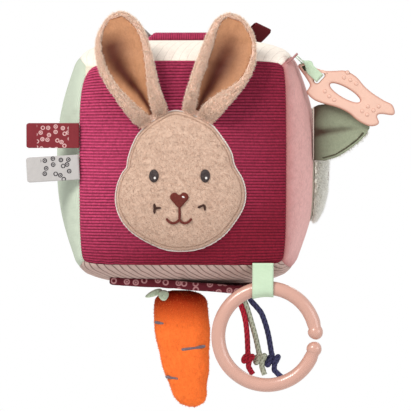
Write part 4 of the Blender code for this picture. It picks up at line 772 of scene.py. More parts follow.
block = {
    "halfSizes": np.array((0.0620, 0.0615, 0.0615)),
    "crowns": (0.0178, 0.0070, 0.0130),
    "holds": ((0.0, 0.95, 0.80), (0.9, 0.0, 0.9), (0.70, 0.95, 0.0)),
    "holdPowers": ((0.0, 3.2, 2.4), (3.2, 0.0, 3.2), (6.0, 3.2, 0.0)),
    "fallPower": 6,
    "cornerPower": 8,
    "cornerRounding": 0.0018,
    "softCornerPower": 5,     # the upper left front corner, whose filling has slumped
    "softCornerRounding": 0.0052,
    "thickness": 0.0020,
    "seamDepth": 0.0007,
    "seamWidth": 0.0042,
    "gap": 0.0003,
}
frontFace, backFace = (0, 2, 1, -1), (0, 2, 1, 1)
leftFace, rightFace = (1, 2, 0, -1), (1, 2, 0, 1)
topFace, bottomFace = (0, 1, 2, 1), (0, 1, 2, -1)


def blockPoint(share, inset=0.0):
    # Each face crowns out between its seams: the crown falls off with a power of the share towards every seam
    share = np.asarray(share, dtype=float)
    size, side = np.abs(share), np.sign(share)
    point = np.empty_like(share)
    slumped = (side[..., 0] < 0) & (side[..., 1] < 0) & (side[..., 2] > 0)
    cut = size[..., 0] * size[..., 1] * size[..., 2]
    corner = np.where(slumped, block["softCornerRounding"] * cut ** block["softCornerPower"],
                      block["cornerRounding"] * cut ** block["cornerPower"])
    for axis in range(3):
        crown = block["crowns"][axis] * size[..., axis] ** block["fallPower"]
        for other in range(3):
            if other != axis:
                power = block["holdPowers"][axis][other]
                crown = crown * (1 - block["holds"][axis][other] * size[..., other] ** power)
        point[..., axis] = share[..., axis] * (block["halfSizes"][axis] - inset)
        point[..., axis] += side[..., axis] * (crown - corner)
    return point


def puffedPoint(share, inset=0.0):
    # The same, with every seam drawn in: both faces of a seam sink towards it together
    point = blockPoint(share, inset)
    size, side = np.abs(share), np.sign(share)
    near = (1 - np.clip((1 - size) * block["halfSizes"] / block["seamWidth"], 0.0, 1.0)) ** 1.7
    for one, other in ((0, 1), (0, 2), (1, 2)):
        pull = block["seamDepth"] * near[..., one] * near[..., other]
        point[..., one] -= pull * side[..., one]
        point[..., other] -= pull * side[..., other]
    return point


def faceShare(face, across, up, out=1.0):
    across, up = np.broadcast_arrays(across, up)
    share = np.empty(across.shape + (3,))
    share[..., face[0]] = across
    share[..., face[1]] = up
    share[..., face[2]] = out * face[3]
    return share


def skin(face, across, up):
    # How far out the face lies at a place, found by stepping the share until it lands there
    across, up = np.broadcast_arrays(np.asarray(across, dtype=float), np.asarray(up, dtype=float))
    halves = block["halfSizes"]
    here, there = across / halves[face[0]], up / halves[face[1]]
    for _ in range(12):
        point = blockPoint(faceShare(face, here, there))
        here = np.clip(here + (across - point[..., face[0]]) / halves[face[0]], -1, 1)
        there = np.clip(there + (up - point[..., face[1]]) / halves[face[1]], -1, 1)
    return blockPoint(faceShare(face, here, there))[..., face[2]] * face[3]


def onFace(face, across, up, out):
    across, up, out = np.broadcast_arrays(across, up, out)
    point = np.empty(across.shape + (3,))
    point[..., face[0]] = across
    point[..., face[1]] = up
    point[..., face[2]] = out * face[3]
    return point


# Cords first: each is a braided tube from the pocket down to an overhand knot

cords = {
    "diameter": 0.0030,
    "exitGap": 0.0004,
    "waves": 4,            # strands seen round the cord
    "braidPitch": 0.0034,
    "braidHeight": 0.08,   # share of the radius
    "fullness": 1.12,      # the loose braid swells past its drawn size
    "stations": 150,
    "sides": 24,
    "routes": {
        "red": ((0.0322, -0.0365, -0.0788), (0.0329, -0.0365, -0.0838), (0.0352, -0.0376, -0.0893),
                (0.0371, -0.0388, -0.0960), (0.0382, -0.0394, -0.1050), (0.0387, -0.0395, -0.1165)),
        "sage": ((0.0356, -0.0365, -0.0788), (0.0363, -0.0365, -0.0838), (0.0384, -0.0364, -0.0898),
                 (0.0410, -0.0363, -0.0985), (0.0436, -0.0361, -0.1080), (0.0455, -0.0360, -0.1168)),
        "navy": ((0.0388, -0.0365, -0.0788), (0.0399, -0.0365, -0.0833), (0.0426, -0.0362, -0.0869),
                 (0.0461, -0.0358, -0.0908), (0.0489, -0.0354, -0.0975), (0.0512, -0.0350, -0.1060),
                 (0.0531, -0.0346, -0.1173)),
    },
    "knotRadii": {"red": 0.0035, "sage": 0.0038, "navy": 0.0044},
    "tailLean": {"red": -0.0026, "sage": -0.0006, "navy": -0.0036},
    "tailLength": 0.0058,
}
pocketForm = {
    "left": -0.0450, "right": 0.0400, "front": -0.0430, "rear": 0.0380,
    "thickness": 0.0016, "sag": 0.0044, "mouth": 0.0011,
    "hemHeight": 0.0050, "hemDepth": 0.0026,
}


def pocketTop(across, back):
    # The pocket follows the bottom panel, and sags off it towards its right front corner
    run = np.clip((across - pocketForm["left"]) / (pocketForm["right"] - pocketForm["left"]), 0.0, 1.0)
    depth = np.clip((back - pocketForm["front"]) / (pocketForm["rear"] - pocketForm["front"]), 0.0, 1.0)
    hanging = pocketForm["sag"] * eased(run) ** 1.5 + pocketForm["mouth"]
    return -(skin(bottomFace, across, back) + block["gap"] + hanging * (1 - eased(depth)))


def braided(line, radius, stations, sides):
    # Radius times one plus a lattice: the product of two waves that wind round the line opposite ways
    fine = smoothLine(line, stations)
    run = np.linspace(0.0, np.linalg.norm(np.diff(fine, axis=0), axis=1).sum(), stations)
    turn = np.linspace(0.0, 2 * math.pi, sides, endpoint=False)
    wound = cords["waves"] * turn[None, :]
    climb = 2 * math.pi * run[:, None] / cords["braidPitch"]
    lattice = np.maximum(np.abs(np.cos((wound + climb) / 2)) ** 0.7 * (np.sin(climb * 1.0) * 0.15 + 0.85),
                         np.abs(np.cos((wound - climb) / 2)) ** 0.7)
    radii = radius * (cords["fullness"] + 1.6 * cords["braidHeight"] * (lattice - 0.8))
    rings = tubeRings(fine, radii, sides)
    measure = np.stack((np.broadcast_to(run[:, None], lattice.shape), np.broadcast_to(turn * radius, lattice.shape),
                        (lattice - 0.45) / 0.55), axis=-1).reshape(-1, 3)
    return rings, np.vstack((measure, measure[:2]))


def knotLine(end, down, radius, lean):
    # Down into the lump, once round in an overhand loop, and out below as a short tail
    turn = np.linspace(0.0, 2 * math.pi, 19)
    reach = radius - cords["diameter"] * 0.42
    loop = np.column_stack((np.sin(turn) * reach + 0.35 * np.sin(2 * turn) * reach, -0.7 * np.cos(turn) * reach,
                            -radius * 0.9 - 0.62 * reach * np.sin(2 * turn + 0.4)))
    start = np.array(((0.0, 0.0, 0.0004), (0.0, -0.0003, -0.0010)))
    tail = np.array([(lean * share ** 1.5, 0.0, -2 * radius - cords["tailLength"] * share)
                     for share in (0.1, 0.4, 0.7, 1.0)])
    line = np.vstack((start, loop[2:-1], tail))
    side = np.cross(down, (0.0, 1.0, 0.0))
    side /= np.linalg.norm(side)
    frameOf = np.array((-side, np.cross(down, -side), -down))
    return end + line @ frameOf


def makeCords():
    for colour, route in cords["routes"].items():
        line = smoothLine(route, 9)
        backs = line[1, 1] + cords["diameter"] * np.array((-1.0, 0.0, 1.0))
        top = float(pocketTop(np.full(3, line[1, 0]), backs).min()) - pocketForm["thickness"]
        line[0] = (line[1, 0], line[1, 1], top - cords["exitGap"])
        path = smoothLine(line, 31)
        rings, measure = braided(line, cords["diameter"] / 2, cords["stations"], cords["sides"])
        points, faces = tubeShell(rings)
        cord = makePiece(f"{colour}CordBraid", points, faces, f"{colour}Cord", "cord_bunch",
                         [f"{colour}_cord"], measure, merge=False)
        down = line[-1] - line[-2]
        down /= np.linalg.norm(down)
        knotPath = smoothLine(knotLine(line[-1], down, cords["knotRadii"][colour], cords["tailLean"][colour]), 60)
        rings, measure = braided(knotPath, cords["diameter"] / 2, 220, 18)
        points, faces = tubeShell(rings)
        knot = makePiece(f"{colour}CordKnot", points, faces, f"{colour}Cord", "cord_bunch",
                         [f"{colour}_knot"], measure, merge=False)


makeCords()


# Panels: each a closed shell whose outer side carries its ribs, its puckers and the settled cloth

panels = {
    "inset": 0.0020,
    "innerShares": (1.0, 0.9, 0.7, 0.4),
    "settleCells": 30,
    "pressure": 1.4,
    "growth": 0.022,
    "cap": 0.0005,
    "puckerHeight": 0.00045,
    "puckerReach": 0.010,
}


def ribWave(count, share):
    return np.abs(np.sin(count * math.pi)) ** share


def crowded(count):
    even = np.linspace(-1.0, 1.0, count)
    return even * (1.3 - 0.3 * even ** 2)


def panel(name, face, finish, node, ribs, seed):
    halves = block["halfSizes"]
    ribbed, plain = ribs["samples"] * ribs["count"] + 1, ribs["plain"]
    across = np.linspace(-1.0, 1.0, ribbed) if ribs["axis"] == 0 else crowded(plain)
    up = np.linspace(-1.0, 1.0, ribbed) if ribs["axis"] == 1 else crowded(plain)
    first, second = np.meshgrid(across, up, indexing="ij")
    share = faceShare(face, first, second)
    grid = puffedPoint(share)

    coarse = np.linspace(-1.0, 1.0, panels["settleCells"] + 1)
    coarseShare = faceShare(face, *np.meshgrid(coarse, coarse, indexing="ij"))
    coarseGrid = blockPoint(coarseShare)
    flipped = (gridNormals(coarseGrid) * coarseGrid).sum() < 0
    moved = settle(coarseGrid, -panels["pressure"] if flipped else panels["pressure"], panels["growth"],
                   panels["cap"])
    moved = resample(moved, 0, 0, places=(across + 1) / 2 * panels["settleCells"])
    moved = resample(moved, 0, 1, places=(up + 1) / 2 * panels["settleCells"])

    normals = gridNormals(grid)
    normals *= np.sign((normals * grid).sum(axis=-1, keepdims=True))
    wobble = ripple(share * 0.06, 0.05, seed) * ribs["wobble"]
    count = ((first if ribs["axis"] == 0 else second) + 1) / 2 * ribs["count"] + wobble - ribs["slant"] * second
    rise = ribs["height"] * (ribWave(count, ribs["sharp"]) - 0.6)
    for value, half, other, otherHalf in ((first, halves[face[0]], second, halves[face[1]]),
                                          (second, halves[face[1]], first, halves[face[0]])):
        inward = (1 - np.abs(value)) * half
        gather = ripple(np.stack((other * otherHalf, np.sign(value) * 0.05), axis=-1), 0.0075, seed + 5)
        fade = np.exp(-inward / panels["puckerReach"] * 1.6) * (1 - np.exp(-inward / 0.0012))
        if value is second:
            fade = fade * np.where(value < 0, ribs["lowPucker"], 1.0)
        rise = rise + panels["puckerHeight"] * ribs["pucker"] * gather * fade
    grid = grid + moved + normals * rise[..., None]

    border = borderOf(*first.shape)
    rim = share.reshape(-1, 3)[border]
    rings, numbers = [grid.reshape(-1, 3)], [border]
    for scale in panels["innerShares"]:
        scaled = rim * scale
        scaled[:, face[2]] = face[3]
        numbers.append(sum(len(ring) for ring in rings) + np.arange(len(border)))
        rings.append(puffedPoint(scaled, panels["inset"]))
    middle = np.zeros((1, 3))
    middle[0, face[2]] = face[3]
    rings.append(blockPoint(middle, panels["inset"]))
    points = np.vstack(rings)
    total = len(points)
    measure = np.zeros((total, 3))
    measure[:, 0], measure[:, 1] = points[:, face[0]], points[:, face[1]]
    if ribs["coloured"]:
        measure[:first.size, 2] = count.ravel()
    else:
        nearest = (1 - np.maximum(np.abs(first), np.abs(second))).ravel() * halves[face[0]]
        measure[:first.size, 2] = ribs["seamShade"] * np.exp(-nearest / ribs["shadeReach"])
    faces = [gridFaces(*first.shape), joinRings(numbers), fan(numbers[-1], total - 1)]
    return makePiece(name, points, faces, finish, "block", [node], measure)


fineRibs = {"axis": 1, "count": 68, "samples": 6, "plain": 72, "height": 0.00050, "sharp": 0.75, "wobble": 0.22,
            "pucker": 1.0, "slant": 0.0, "coloured": True, "lowPucker": 2.8}
wideWale = {"axis": 0, "count": 27, "samples": 8, "plain": 60, "height": 0.00025, "sharp": 0.25, "wobble": 0.16,
            "pucker": 0.9, "slant": 3.0, "coloured": True, "lowPucker": 1.0}
biasWale = {"axis": 0, "count": 26, "samples": 8, "plain": 190, "height": 0.00055, "sharp": 0.6, "wobble": 0.16,
            "pucker": 0.9, "slant": 10.0, "coloured": True, "lowPucker": 1.0}
smoothCloth = {"axis": 0, "count": 60, "samples": 2, "plain": 121, "height": 0.0, "sharp": 1.0, "wobble": 0.0,
               "pucker": 0.8, "slant": 0.0, "coloured": False, "seamShade": 0.95, "shadeReach": 0.0042,
               "lowPucker": 1.0}

panel("frontPanelCorduroy", frontFace, "raspberry", "front_panel", fineRibs, 11)
panel("backPanelCorduroy", backFace, "raspberry", "back_panel", fineRibs, 12)
panel("leftPanelJersey", leftFace, "jersey", "left_panel", smoothCloth, 13)
panel("rightPanelVelour", rightFace, "pinkVelour", "right_panel", smoothCloth, 14)
panel("topPanelWale", topFace, "cream", "top_panel", wideWale, 15)
panel("bottomPanelWale", bottomFace, "creamBiasShaded", "bottom_panel", biasWale, 16)
print("panels made")


# Padded shapes on a face

def loopOf(shares, width, height, across, up, count):
    return smoothLine(np.array(shares) * (width, height) + (across, up), count, closed=True)


def ellipse(width, height, across, up, count, turn=0.0):
    steps = np.linspace(0.0, 2 * math.pi, count, endpoint=False)
    flat = np.column_stack((width / 2 * np.cos(steps), height / 2 * np.sin(steps)))
    spin = np.array(((math.cos(turn), math.sin(turn)), (-math.sin(turn), math.cos(turn))))
    return flat @ spin + (across, up)


def grown(loop, middle, extra):
    reach = loop - middle
    return middle + reach * (1 + extra / np.linalg.norm(reach, axis=1))[:, None]


def reachShare(loop, middle, across, up):
    # 0 at the middle and 1 on the outline, along the ray through the place
    turns = np.arctan2(loop[:, 1] - middle[1], loop[:, 0] - middle[0])
    order = np.argsort(turns)
    reaches = np.linalg.norm(loop - middle, axis=1)[order]
    here = np.arctan2(up - middle[1], across - middle[0])
    edge = np.interp(here, turns[order], reaches, period=2 * math.pi)
    return np.clip(np.hypot(across - middle[0], up - middle[1]) / edge, 0.0, 1.0)


def roundedProfile(count, thickness, crown=0.0, edgePower=8.0, crownPower=3.0, start=0.04):
    # Reach from the middle to the edge with the height there: a crown on a slab whose edge rounds over
    reach = np.sin(np.linspace(math.asin(start), math.pi / 2, count))
    return np.column_stack((reach, thickness * np.sqrt(np.maximum(1 - reach ** edgePower, 0.0))
                            + crown * (1 - reach ** crownPower)))


def domeShell(face, loop, middle, under, profile, rise=None, lift=0.0):
    # The outline scaled by each reach and raised by its height over what it lies on, closed underneath
    middle = np.asarray(middle)

    def ring(reach, height):
        places = middle + np.asarray(reach)[:, None, None] * (loop - middle)[None]
        base = under(places[..., 0], places[..., 1]) + lift
        extra = 0.0 if rise is None else rise(places, np.asarray(reach)[:, None]) * (np.asarray(height) > 0)[:, None]
        return onFace(face, places[..., 0], places[..., 1], base + np.asarray(height)[:, None] + extra)
    front = ring(profile[:, 0], profile[:, 1])
    back = ring((0.9, 0.6, 0.3), (0.0, 0.0, 0.0))
    rings = np.concatenate((front, back))
    ends = ring((0.0, 0.0), (profile[0, 1], 0.0))[:, 0]
    count, sides = rings.shape[:2]
    points = np.vstack((rings.reshape(-1, 3), ends))
    faces = [gridFaces(count, sides, 0, True), fan(np.arange(sides), count * sides)[:, ::-1],
             fan((count - 1) * sides + np.arange(sides), count * sides + 1)]
    measure = np.zeros((len(points), 3))
    measure[:, 0], measure[:, 1] = points[:, face[0]], points[:, face[1]]
    return points, faces, measure, front


def stitchLine(name, places, width, height, face, under, finish, slotName, body, nodes=(), pitch=0.0011, lift=0.0,
               spread=1.0):
    # A raised thread along a line on a surface: a flattened tube that swells and narrows once a stitch
    length = np.linalg.norm(np.diff(np.asarray(places), axis=0), axis=1).sum()
    count = max(12, int(length / pitch * 6))
    line = smoothLine(places, count)
    run = np.linspace(0.0, length, count)
    path = onFace(face, line[:, 0], line[:, 1], under(line[:, 0], line[:, 1]) + lift + height * 0.35)
    ends = np.minimum(1.0, np.minimum(run, length - run) / width * 1.6 + 0.25)
    radii = width / 2 * ends * (0.86 + 0.2 * np.abs(np.sin(run / pitch * math.pi)))
    side = np.zeros(3)
    side[face[2]] = 1.0
    rings = tubeRings(path, radii, 12, (height / width * spread, 1.0), side)
    points, faces = tubeShell(rings)
    measure = np.zeros((len(points), 3))
    measure[:count * 12, 0] = np.repeat(run, 12)
    return makePiece(name, points, faces, finish, body, nodes, measure)


# Rabbit head with its stitched face

head = {
    "middle": (-0.0009, -0.0106),
    "width": 0.0768, "height": 0.0832,
    "rim": 0.0022, "crown": 0.0055, "backing": 0.0010, "edging": 0.0011,
    "points": 200,
    "lineAt": 0.955,
    "pileLumps": 0.00028,
    "strands": 15000,
    "shares": (
        (-0.021, 0.500), (0.211, 0.416), (0.318, 0.310), (0.389, 0.203), (0.414, 0.112), (0.476, 0.013),
        (0.500, -0.086), (0.484, -0.184), (0.418, -0.291), (0.318, -0.398), (0.178, -0.474), (0.029, -0.500),
        (-0.120, -0.489), (-0.260, -0.435), (-0.376, -0.367), (-0.459, -0.275), (-0.500, -0.162),
        (-0.492, -0.048), (-0.450, 0.051), (-0.413, 0.096), (-0.401, 0.165), (-0.360, 0.272),
        (-0.302, 0.356), (-0.170, 0.450)),
}
headLoop = loopOf(head["shares"], head["width"], head["height"], *head["middle"], head["points"])


def frontSkin(across, up):
    return skin(frontFace, across, up)


def headBack(across, up):
    return frontSkin(across, up) + 2 * block["gap"] + head["backing"]


def headSkin(across, up):
    share = reachShare(headLoop, head["middle"], across, up)
    return headBack(across, up) + head["rim"] + head["crown"] * (1 - share ** 3)


def makeHead():
    loop = grown(headLoop, np.array(head["middle"]), head["edging"])
    points, faces, measure, front = domeShell(frontFace, loop, head["middle"], frontSkin,
                                              roundedProfile(16, head["backing"], edgePower=30.0), lift=block["gap"])
    measure[:, 0] = np.arctan2(measure[:, 1] - head["middle"][1], measure[:, 0] - head["middle"][0]) * 0.04
    makePiece("headEdging", points, faces, "edging", "block", ["rabbit_head_backing"], measure)
    inner = grown(headLoop, np.array(head["middle"]), head["edging"] * 0.45)
    stitchLine("headEdgingStitch", np.vstack((inner, inner[:1])), 0.00045, 0.0004, frontFace, frontSkin,
               "whiteThread", "felt_cream", "block", pitch=0.0016, lift=block["gap"] + head["backing"] - 0.0001)

    def lumps(places, reach):
        pressed = 0.0006 * np.exp(-((reach - head["lineAt"]) / 0.009) ** 2)
        return (ripple(places, 0.0045, 21) * 0.6 + ripple(places, 0.0016, 22) * 0.5) * head["pileLumps"] - pressed
    profile = roundedProfile(90, head["rim"], head["crown"])
    points, faces, measure, front = domeShell(frontFace, headLoop, head["middle"], headBack, profile, lumps)
    reached = reachShare(headLoop, head["middle"], points[:, 0], points[:, 2])
    # Painted shade along the pressed line inside the edge and round the very edge
    measure[:, 2] = 0.75 * np.exp(-((reached - head["lineAt"]) / 0.007) ** 2) + 0.5 * eased((reached - 0.985) / 0.015)
    makePiece("rabbitHeadPlush", points, faces, "plush", "block", ["rabbit_head"], measure)
    normals = gridNormals(front, True)
    normals *= np.sign(-normals[..., 1:2] + 1e-9)
    closed = np.concatenate((front, front[:, :1]), axis=1)
    closedNormals = np.concatenate((normals, normals[:, :1]), axis=1)
    roots, facing = scatter(closed[:-2], closedNormals[:-2], head["strands"], 23)
    strands("rabbitHeadPile", roots, facing, {"seed": 24, "lean": (0.0, 0.0, -0.5), "spread": 0.55, "length": 0.0010,
                                              "width": 0.00009, "droop": (0.0, 0.0, -0.25)}, "plushStrand",
            "block")


face = {
    "eyeSheens": {"left": (0.0032, 0.0052), "right": (0.0024, 0.0040)}, "sheenAcross": 0.0004,
    "eyeGlint": (0.0014, 0.0016), "glintOffset": (0.0006, 0.0012),
    "eyeWidth": 0.0058, "eyeHeight": 0.0078, "eyeUp": -0.0074, "eyesAcross": (-0.0163, 0.0143), "eyeThick": 0.0009,
    "nose": (-0.0011, -0.0219), "noseWidth": 0.0111, "noseHeight": 0.0091, "noseThick": 0.0011,
    "heart": ((0.0, -0.5), (0.28, -0.2), (0.5, 0.15), (0.42, 0.42), (0.2, 0.5), (0.0, 0.34),
              (-0.2, 0.5), (-0.42, 0.42), (-0.5, 0.15), (-0.28, -0.2)),
    "mouthWidth": 0.0150, "mouthHeight": 0.0088, "line": 0.0015,
    "smile": ((-0.52, -0.68), (-0.46, -0.84), (-0.36, -0.97), (-0.23, -1.02), (-0.10, -0.94), (0.0, -0.80),
              (0.08, -0.94), (0.20, -1.02), (0.32, -0.97), (0.42, -0.84), (0.48, -0.68)),
    # Whisker marks: short stitches on the cheeks, in metres
    "whiskers": (((-0.0160, -0.0239), (-0.0160, -0.0300)), ((-0.0160, -0.0268), (-0.0120, -0.0264)),
                 ((0.0098, -0.0264), (0.0138, -0.0245)), ((0.0138, -0.0245), (0.0142, -0.0282))),
}


def mark(name, loop, middle, thick, finish, nodes, under, faceOf, lift=0.0004, body="block", lean=0.0):
    points, faces, measure, _ = domeShell(faceOf, loop, middle, under, roundedProfile(10, thick, edgePower=4.0),
                                          lift=lift)
    across, up = measure[:, 0].copy(), measure[:, 1].copy()
    measure[:, 0] = across * math.cos(lean) + up * math.sin(lean)
    measure[:, 1] = up * math.cos(lean) - across * math.sin(lean)
    return makePiece(name, points, faces, finish, body, nodes, measure)


def makeFace():
    for side, across in zip(("left", "right"), face["eyesAcross"]):
        middle = (across, face["eyeUp"])
        mark(f"{side}EyeStitch", ellipse(face["eyeWidth"], face["eyeHeight"], *middle, 40), middle, face["eyeThick"],
             "darkThread", [f"{side}_eye"], headSkin, frontFace)
        sheen = (across + face["sheenAcross"], face["eyeUp"] - 0.0004)
        mark(f"{side}EyeSheen", ellipse(*face["eyeSheens"][side], *sheen, 24), sheen, 0.0003, "greyThread",
             (), headSkin, frontFace, lift=face["eyeThick"])
        glint = (across + face["glintOffset"][0], face["eyeUp"] - face["glintOffset"][1])
        mark(f"{side}EyeGlint", ellipse(*face["eyeGlint"], *glint, 16), glint, 0.0003, "whiteThread", (),
             headSkin, frontFace, lift=face["eyeThick"] + 0.0003)
    loop = loopOf(face["heart"], face["noseWidth"], face["noseHeight"], *face["nose"], 60)
    mark("noseStitch", loop, (face["nose"][0], face["nose"][1] - 0.0006), face["noseThick"], "brownThread",
         ["nose"], headSkin, frontFace, lean=0.5)
    glint = (face["nose"][0] + 0.0024, face["nose"][1] + 0.0020)
    mark("noseGlint", ellipse(0.0019, 0.0011, *glint, 16, -0.4), glint, 0.0004, "whiteThread", (),
         headSkin, frontFace, lift=face["noseThick"] + 0.0001)
    top = np.array((face["nose"][0], face["nose"][1] - face["noseHeight"] / 2 - 0.0002))
    size = np.array((face["mouthWidth"], face["mouthHeight"]))
    smile = np.array(face["smile"]) * size + top
    stitchLine("smileStitch", smile, face["line"], 0.0009, frontFace, headSkin, "brownThread", "thread_brown",
               "block", ["mouth"], lift=0.0003)
    stem = np.array(((top[0], top[1] + 0.0006), (top[0] + 0.0001, top[1] - 0.0035), smile[len(smile) // 2]))
    stitchLine("lipStitch", stem, face["line"], 0.0009, frontFace, headSkin, "brownThread", "thread_brown", "block",
               lift=0.0003)
    for number, places in enumerate(face["whiskers"]):
        stitchLine(f"whiskerStitch{number + 1}", np.array((places[0], np.mean(places, axis=0), places[1])), 0.0014,
                   0.0009, frontFace, headSkin, "whiskerThread", "thread_brown", "block", pitch=0.0030, lift=0.0002)


finishes["greyThread"] = threadFinish("greyThread", tone(150, 146, 152), tone(214, 210, 214))
finishes["whiskerThread"] = threadFinish("whiskerThread", tone(58, 32, 24), tone(96, 60, 48))
makeHead()
makeFace()
print("head and face made")


# Rabbit ears: a plush back whose edges fold round a satin lining, creased towards the root

ears = {
    "thick": 0.0030, "rimRise": 0.0020, "rimRound": 0.0034,
    "rootShare": 0.30, "rootEnd": 0.04, "rootRun": 0.09,
    "liningThick": 0.0008, "rows": 84, "columns": 61,
    "strands": 9000,
    # In each ear, valley is where the crease runs across it; deep gives how dark and spread how wide, in millimetres,
    # the painted shade down that valley is
    "left": {
        "base": (-0.0186, 0.0290), "tip": (-0.0384, 0.0900), "start": -0.085, "slant": 0.20, "seed": 31,
        # Share of the length, then the plush edges and the lining's edges across, in millimetres
        "edges": ((-0.08, -7.8, 10.2, -0.6, 0.9), (0.0, -10.4, 10.2, -1.1, 1.0), (0.1, -12.6, 10.0, -5.2, 1.6),
                  (0.2, -15.0, 9.9, -9.0, 2.6), (0.3, -17.2, 10.3, -12.2, 4.2), (0.4, -19.0, 11.0, -14.4, 5.8),
                  (0.5, -20.2, 11.7, -15.8, 7.0), (0.6, -20.2, 12.0, -16.4, 8.0), (0.7, -19.3, 12.0, -16.0, 8.6),
                  (0.8, -17.3, 11.2, -14.3, 7.7), (0.88, -13.8, 9.2, -11.2, 5.5), (0.94, -9.6, 6.6, -7.4, 2.9),
                  (0.975, -6.2, 4.0, -4.4, 0.6), (1.0, -2.4, 0.6, -2.0, -1.2)),
        "valley": ((-0.06, 0.4), (0.06, 0.6), (0.21, -1.7), (0.34, -5.2), (0.49, -8.6), (0.6, -10.2), (1.0, -9.0)),
        "deep": ((-0.06, 0.9), (0.1, 1.0), (0.5, 1.0), (0.72, 0.95), (0.80, 0.5), (0.87, 0.1), (0.93, 0.0)),
        "spread": ((-0.06, 1.0), (0.1, 1.4), (0.3, 3.2), (0.45, 5.6), (0.6, 8.6), (0.7, 9.6), (1.0, 9.0)),
    },
    "right": {
        "base": (0.0100, 0.0312), "tip": (0.0300, 0.0890), "start": -0.085, "slant": -0.09, "seed": 41,
        "edges": ((-0.04, -9.2, 10.4, -1.6, -0.4), (0.0, -9.4, 11.2, -1.8, 0.0), (0.1, -9.6, 14.1, -2.8, 1.9),
                  (0.2, -9.8, 16.9, -3.9, 6.5), (0.3, -9.9, 19.3, -4.3, 12.6), (0.4, -10.0, 21.3, -4.2, 17.0),
                  (0.5, -10.0, 22.6, -4.1, 18.9), (0.6, -9.9, 22.7, -4.3, 19.3), (0.7, -9.6, 21.4, -4.7, 18.9),
                  (0.8, -8.9, 18.9, -5.2, 17.0), (0.88, -8.0, 15.8, -4.7, 13.1), (0.94, -5.6, 11.6, -2.9, 8.8),
                  (0.975, -3.2, 8.0, -0.9, 5.4), (1.0, -0.8, 3.4, 0.6, 2.4)),
        "valley": ((-0.04, -1.2), (0.14, 0.2), (0.25, 1.8), (0.39, 3.0), (0.58, 4.3), (0.77, 4.7), (1.0, 4.7)),
        "deep": ((-0.04, 0.9), (0.1, 1.0), (0.5, 1.0), (0.66, 0.85), (0.78, 0.55), (0.88, 0.1), (0.94, 0.0)),
        "spread": ((-0.06, 1.4), (0.1, 2.6), (0.25, 5.4), (0.45, 8.6), (0.6, 8.8), (0.8, 6.4), (1.0, 5.0)),
    },
    # How far the edges stand forward of the crease, and how sharply the ear is creased rather than bowed
    "forward": ((-0.085, 0.0), (-0.02, 0.6), (0.06, 4.6), (0.15, 8.6), (0.35, 9.2), (0.55, 7.6), (0.75, 5.2),
                (0.9, 3.0), (1.0, 1.4)),
    "crease": ((0.0, 1.0), (0.4, 0.95), (0.58, 0.6), (0.75, 0.2), (0.9, 0.0)),
}


def earEdge(ear, share, column):
    table = np.array(ear["edges"])
    return np.interp(share, table[:, 0], table[:, column]) / 1000


def earPoint(ear, share, across, out):
    # Along the ear, across it, and forward: a crease along the valley line that opens into a bowl at the tip
    base, tip = np.array(ear["base"]), np.array(ear["tip"])
    run = tip - base
    length = np.linalg.norm(run)
    run /= length
    side = np.array((run[1], -run[0]))
    low, high = earEdge(ear, share, 1), earEdge(ear, share, 2)
    place = 2 * (across - low) / (high - low) - 1
    valley = np.clip(2 * (tableValue(ear["valley"], share) / 1000 - low) / (high - low) - 1, -0.75, 0.75)
    away = np.where(place < valley, (valley - place) / (valley + 1), (place - valley) / (1 - valley))
    folded = np.sqrt(np.clip(away, 0.0, 1.0) ** 2 + 0.006) - 0.077
    folded = 1 - (1 - np.clip(folded / 0.926, 0.0, 1.0)) ** 1.35
    bowl = np.abs(place) ** 2.3
    crease = tableValue(ears["crease"], share)
    forward = tableValue(ears["forward"], share) / 1000 * (crease * folded + (1 - crease) * bowl)
    loose = 1 - eased(share / 0.3)
    along = share * length + loose * ear["slant"] * across
    back = float(frontSkin(0.0, base[1])) + block["gap"]
    return np.stack((base[0] + run[0] * along + side[0] * across, -(back + forward + out),
                     base[1] + run[1] * along + side[1] * across), axis=-1)


def earSlimness(share):
    # Pressed flat where the head is sewn over its root, full thickness a little way up
    return ears["rootShare"] + (1 - ears["rootShare"]) * eased((share + ears["rootEnd"]) / ears["rootRun"])


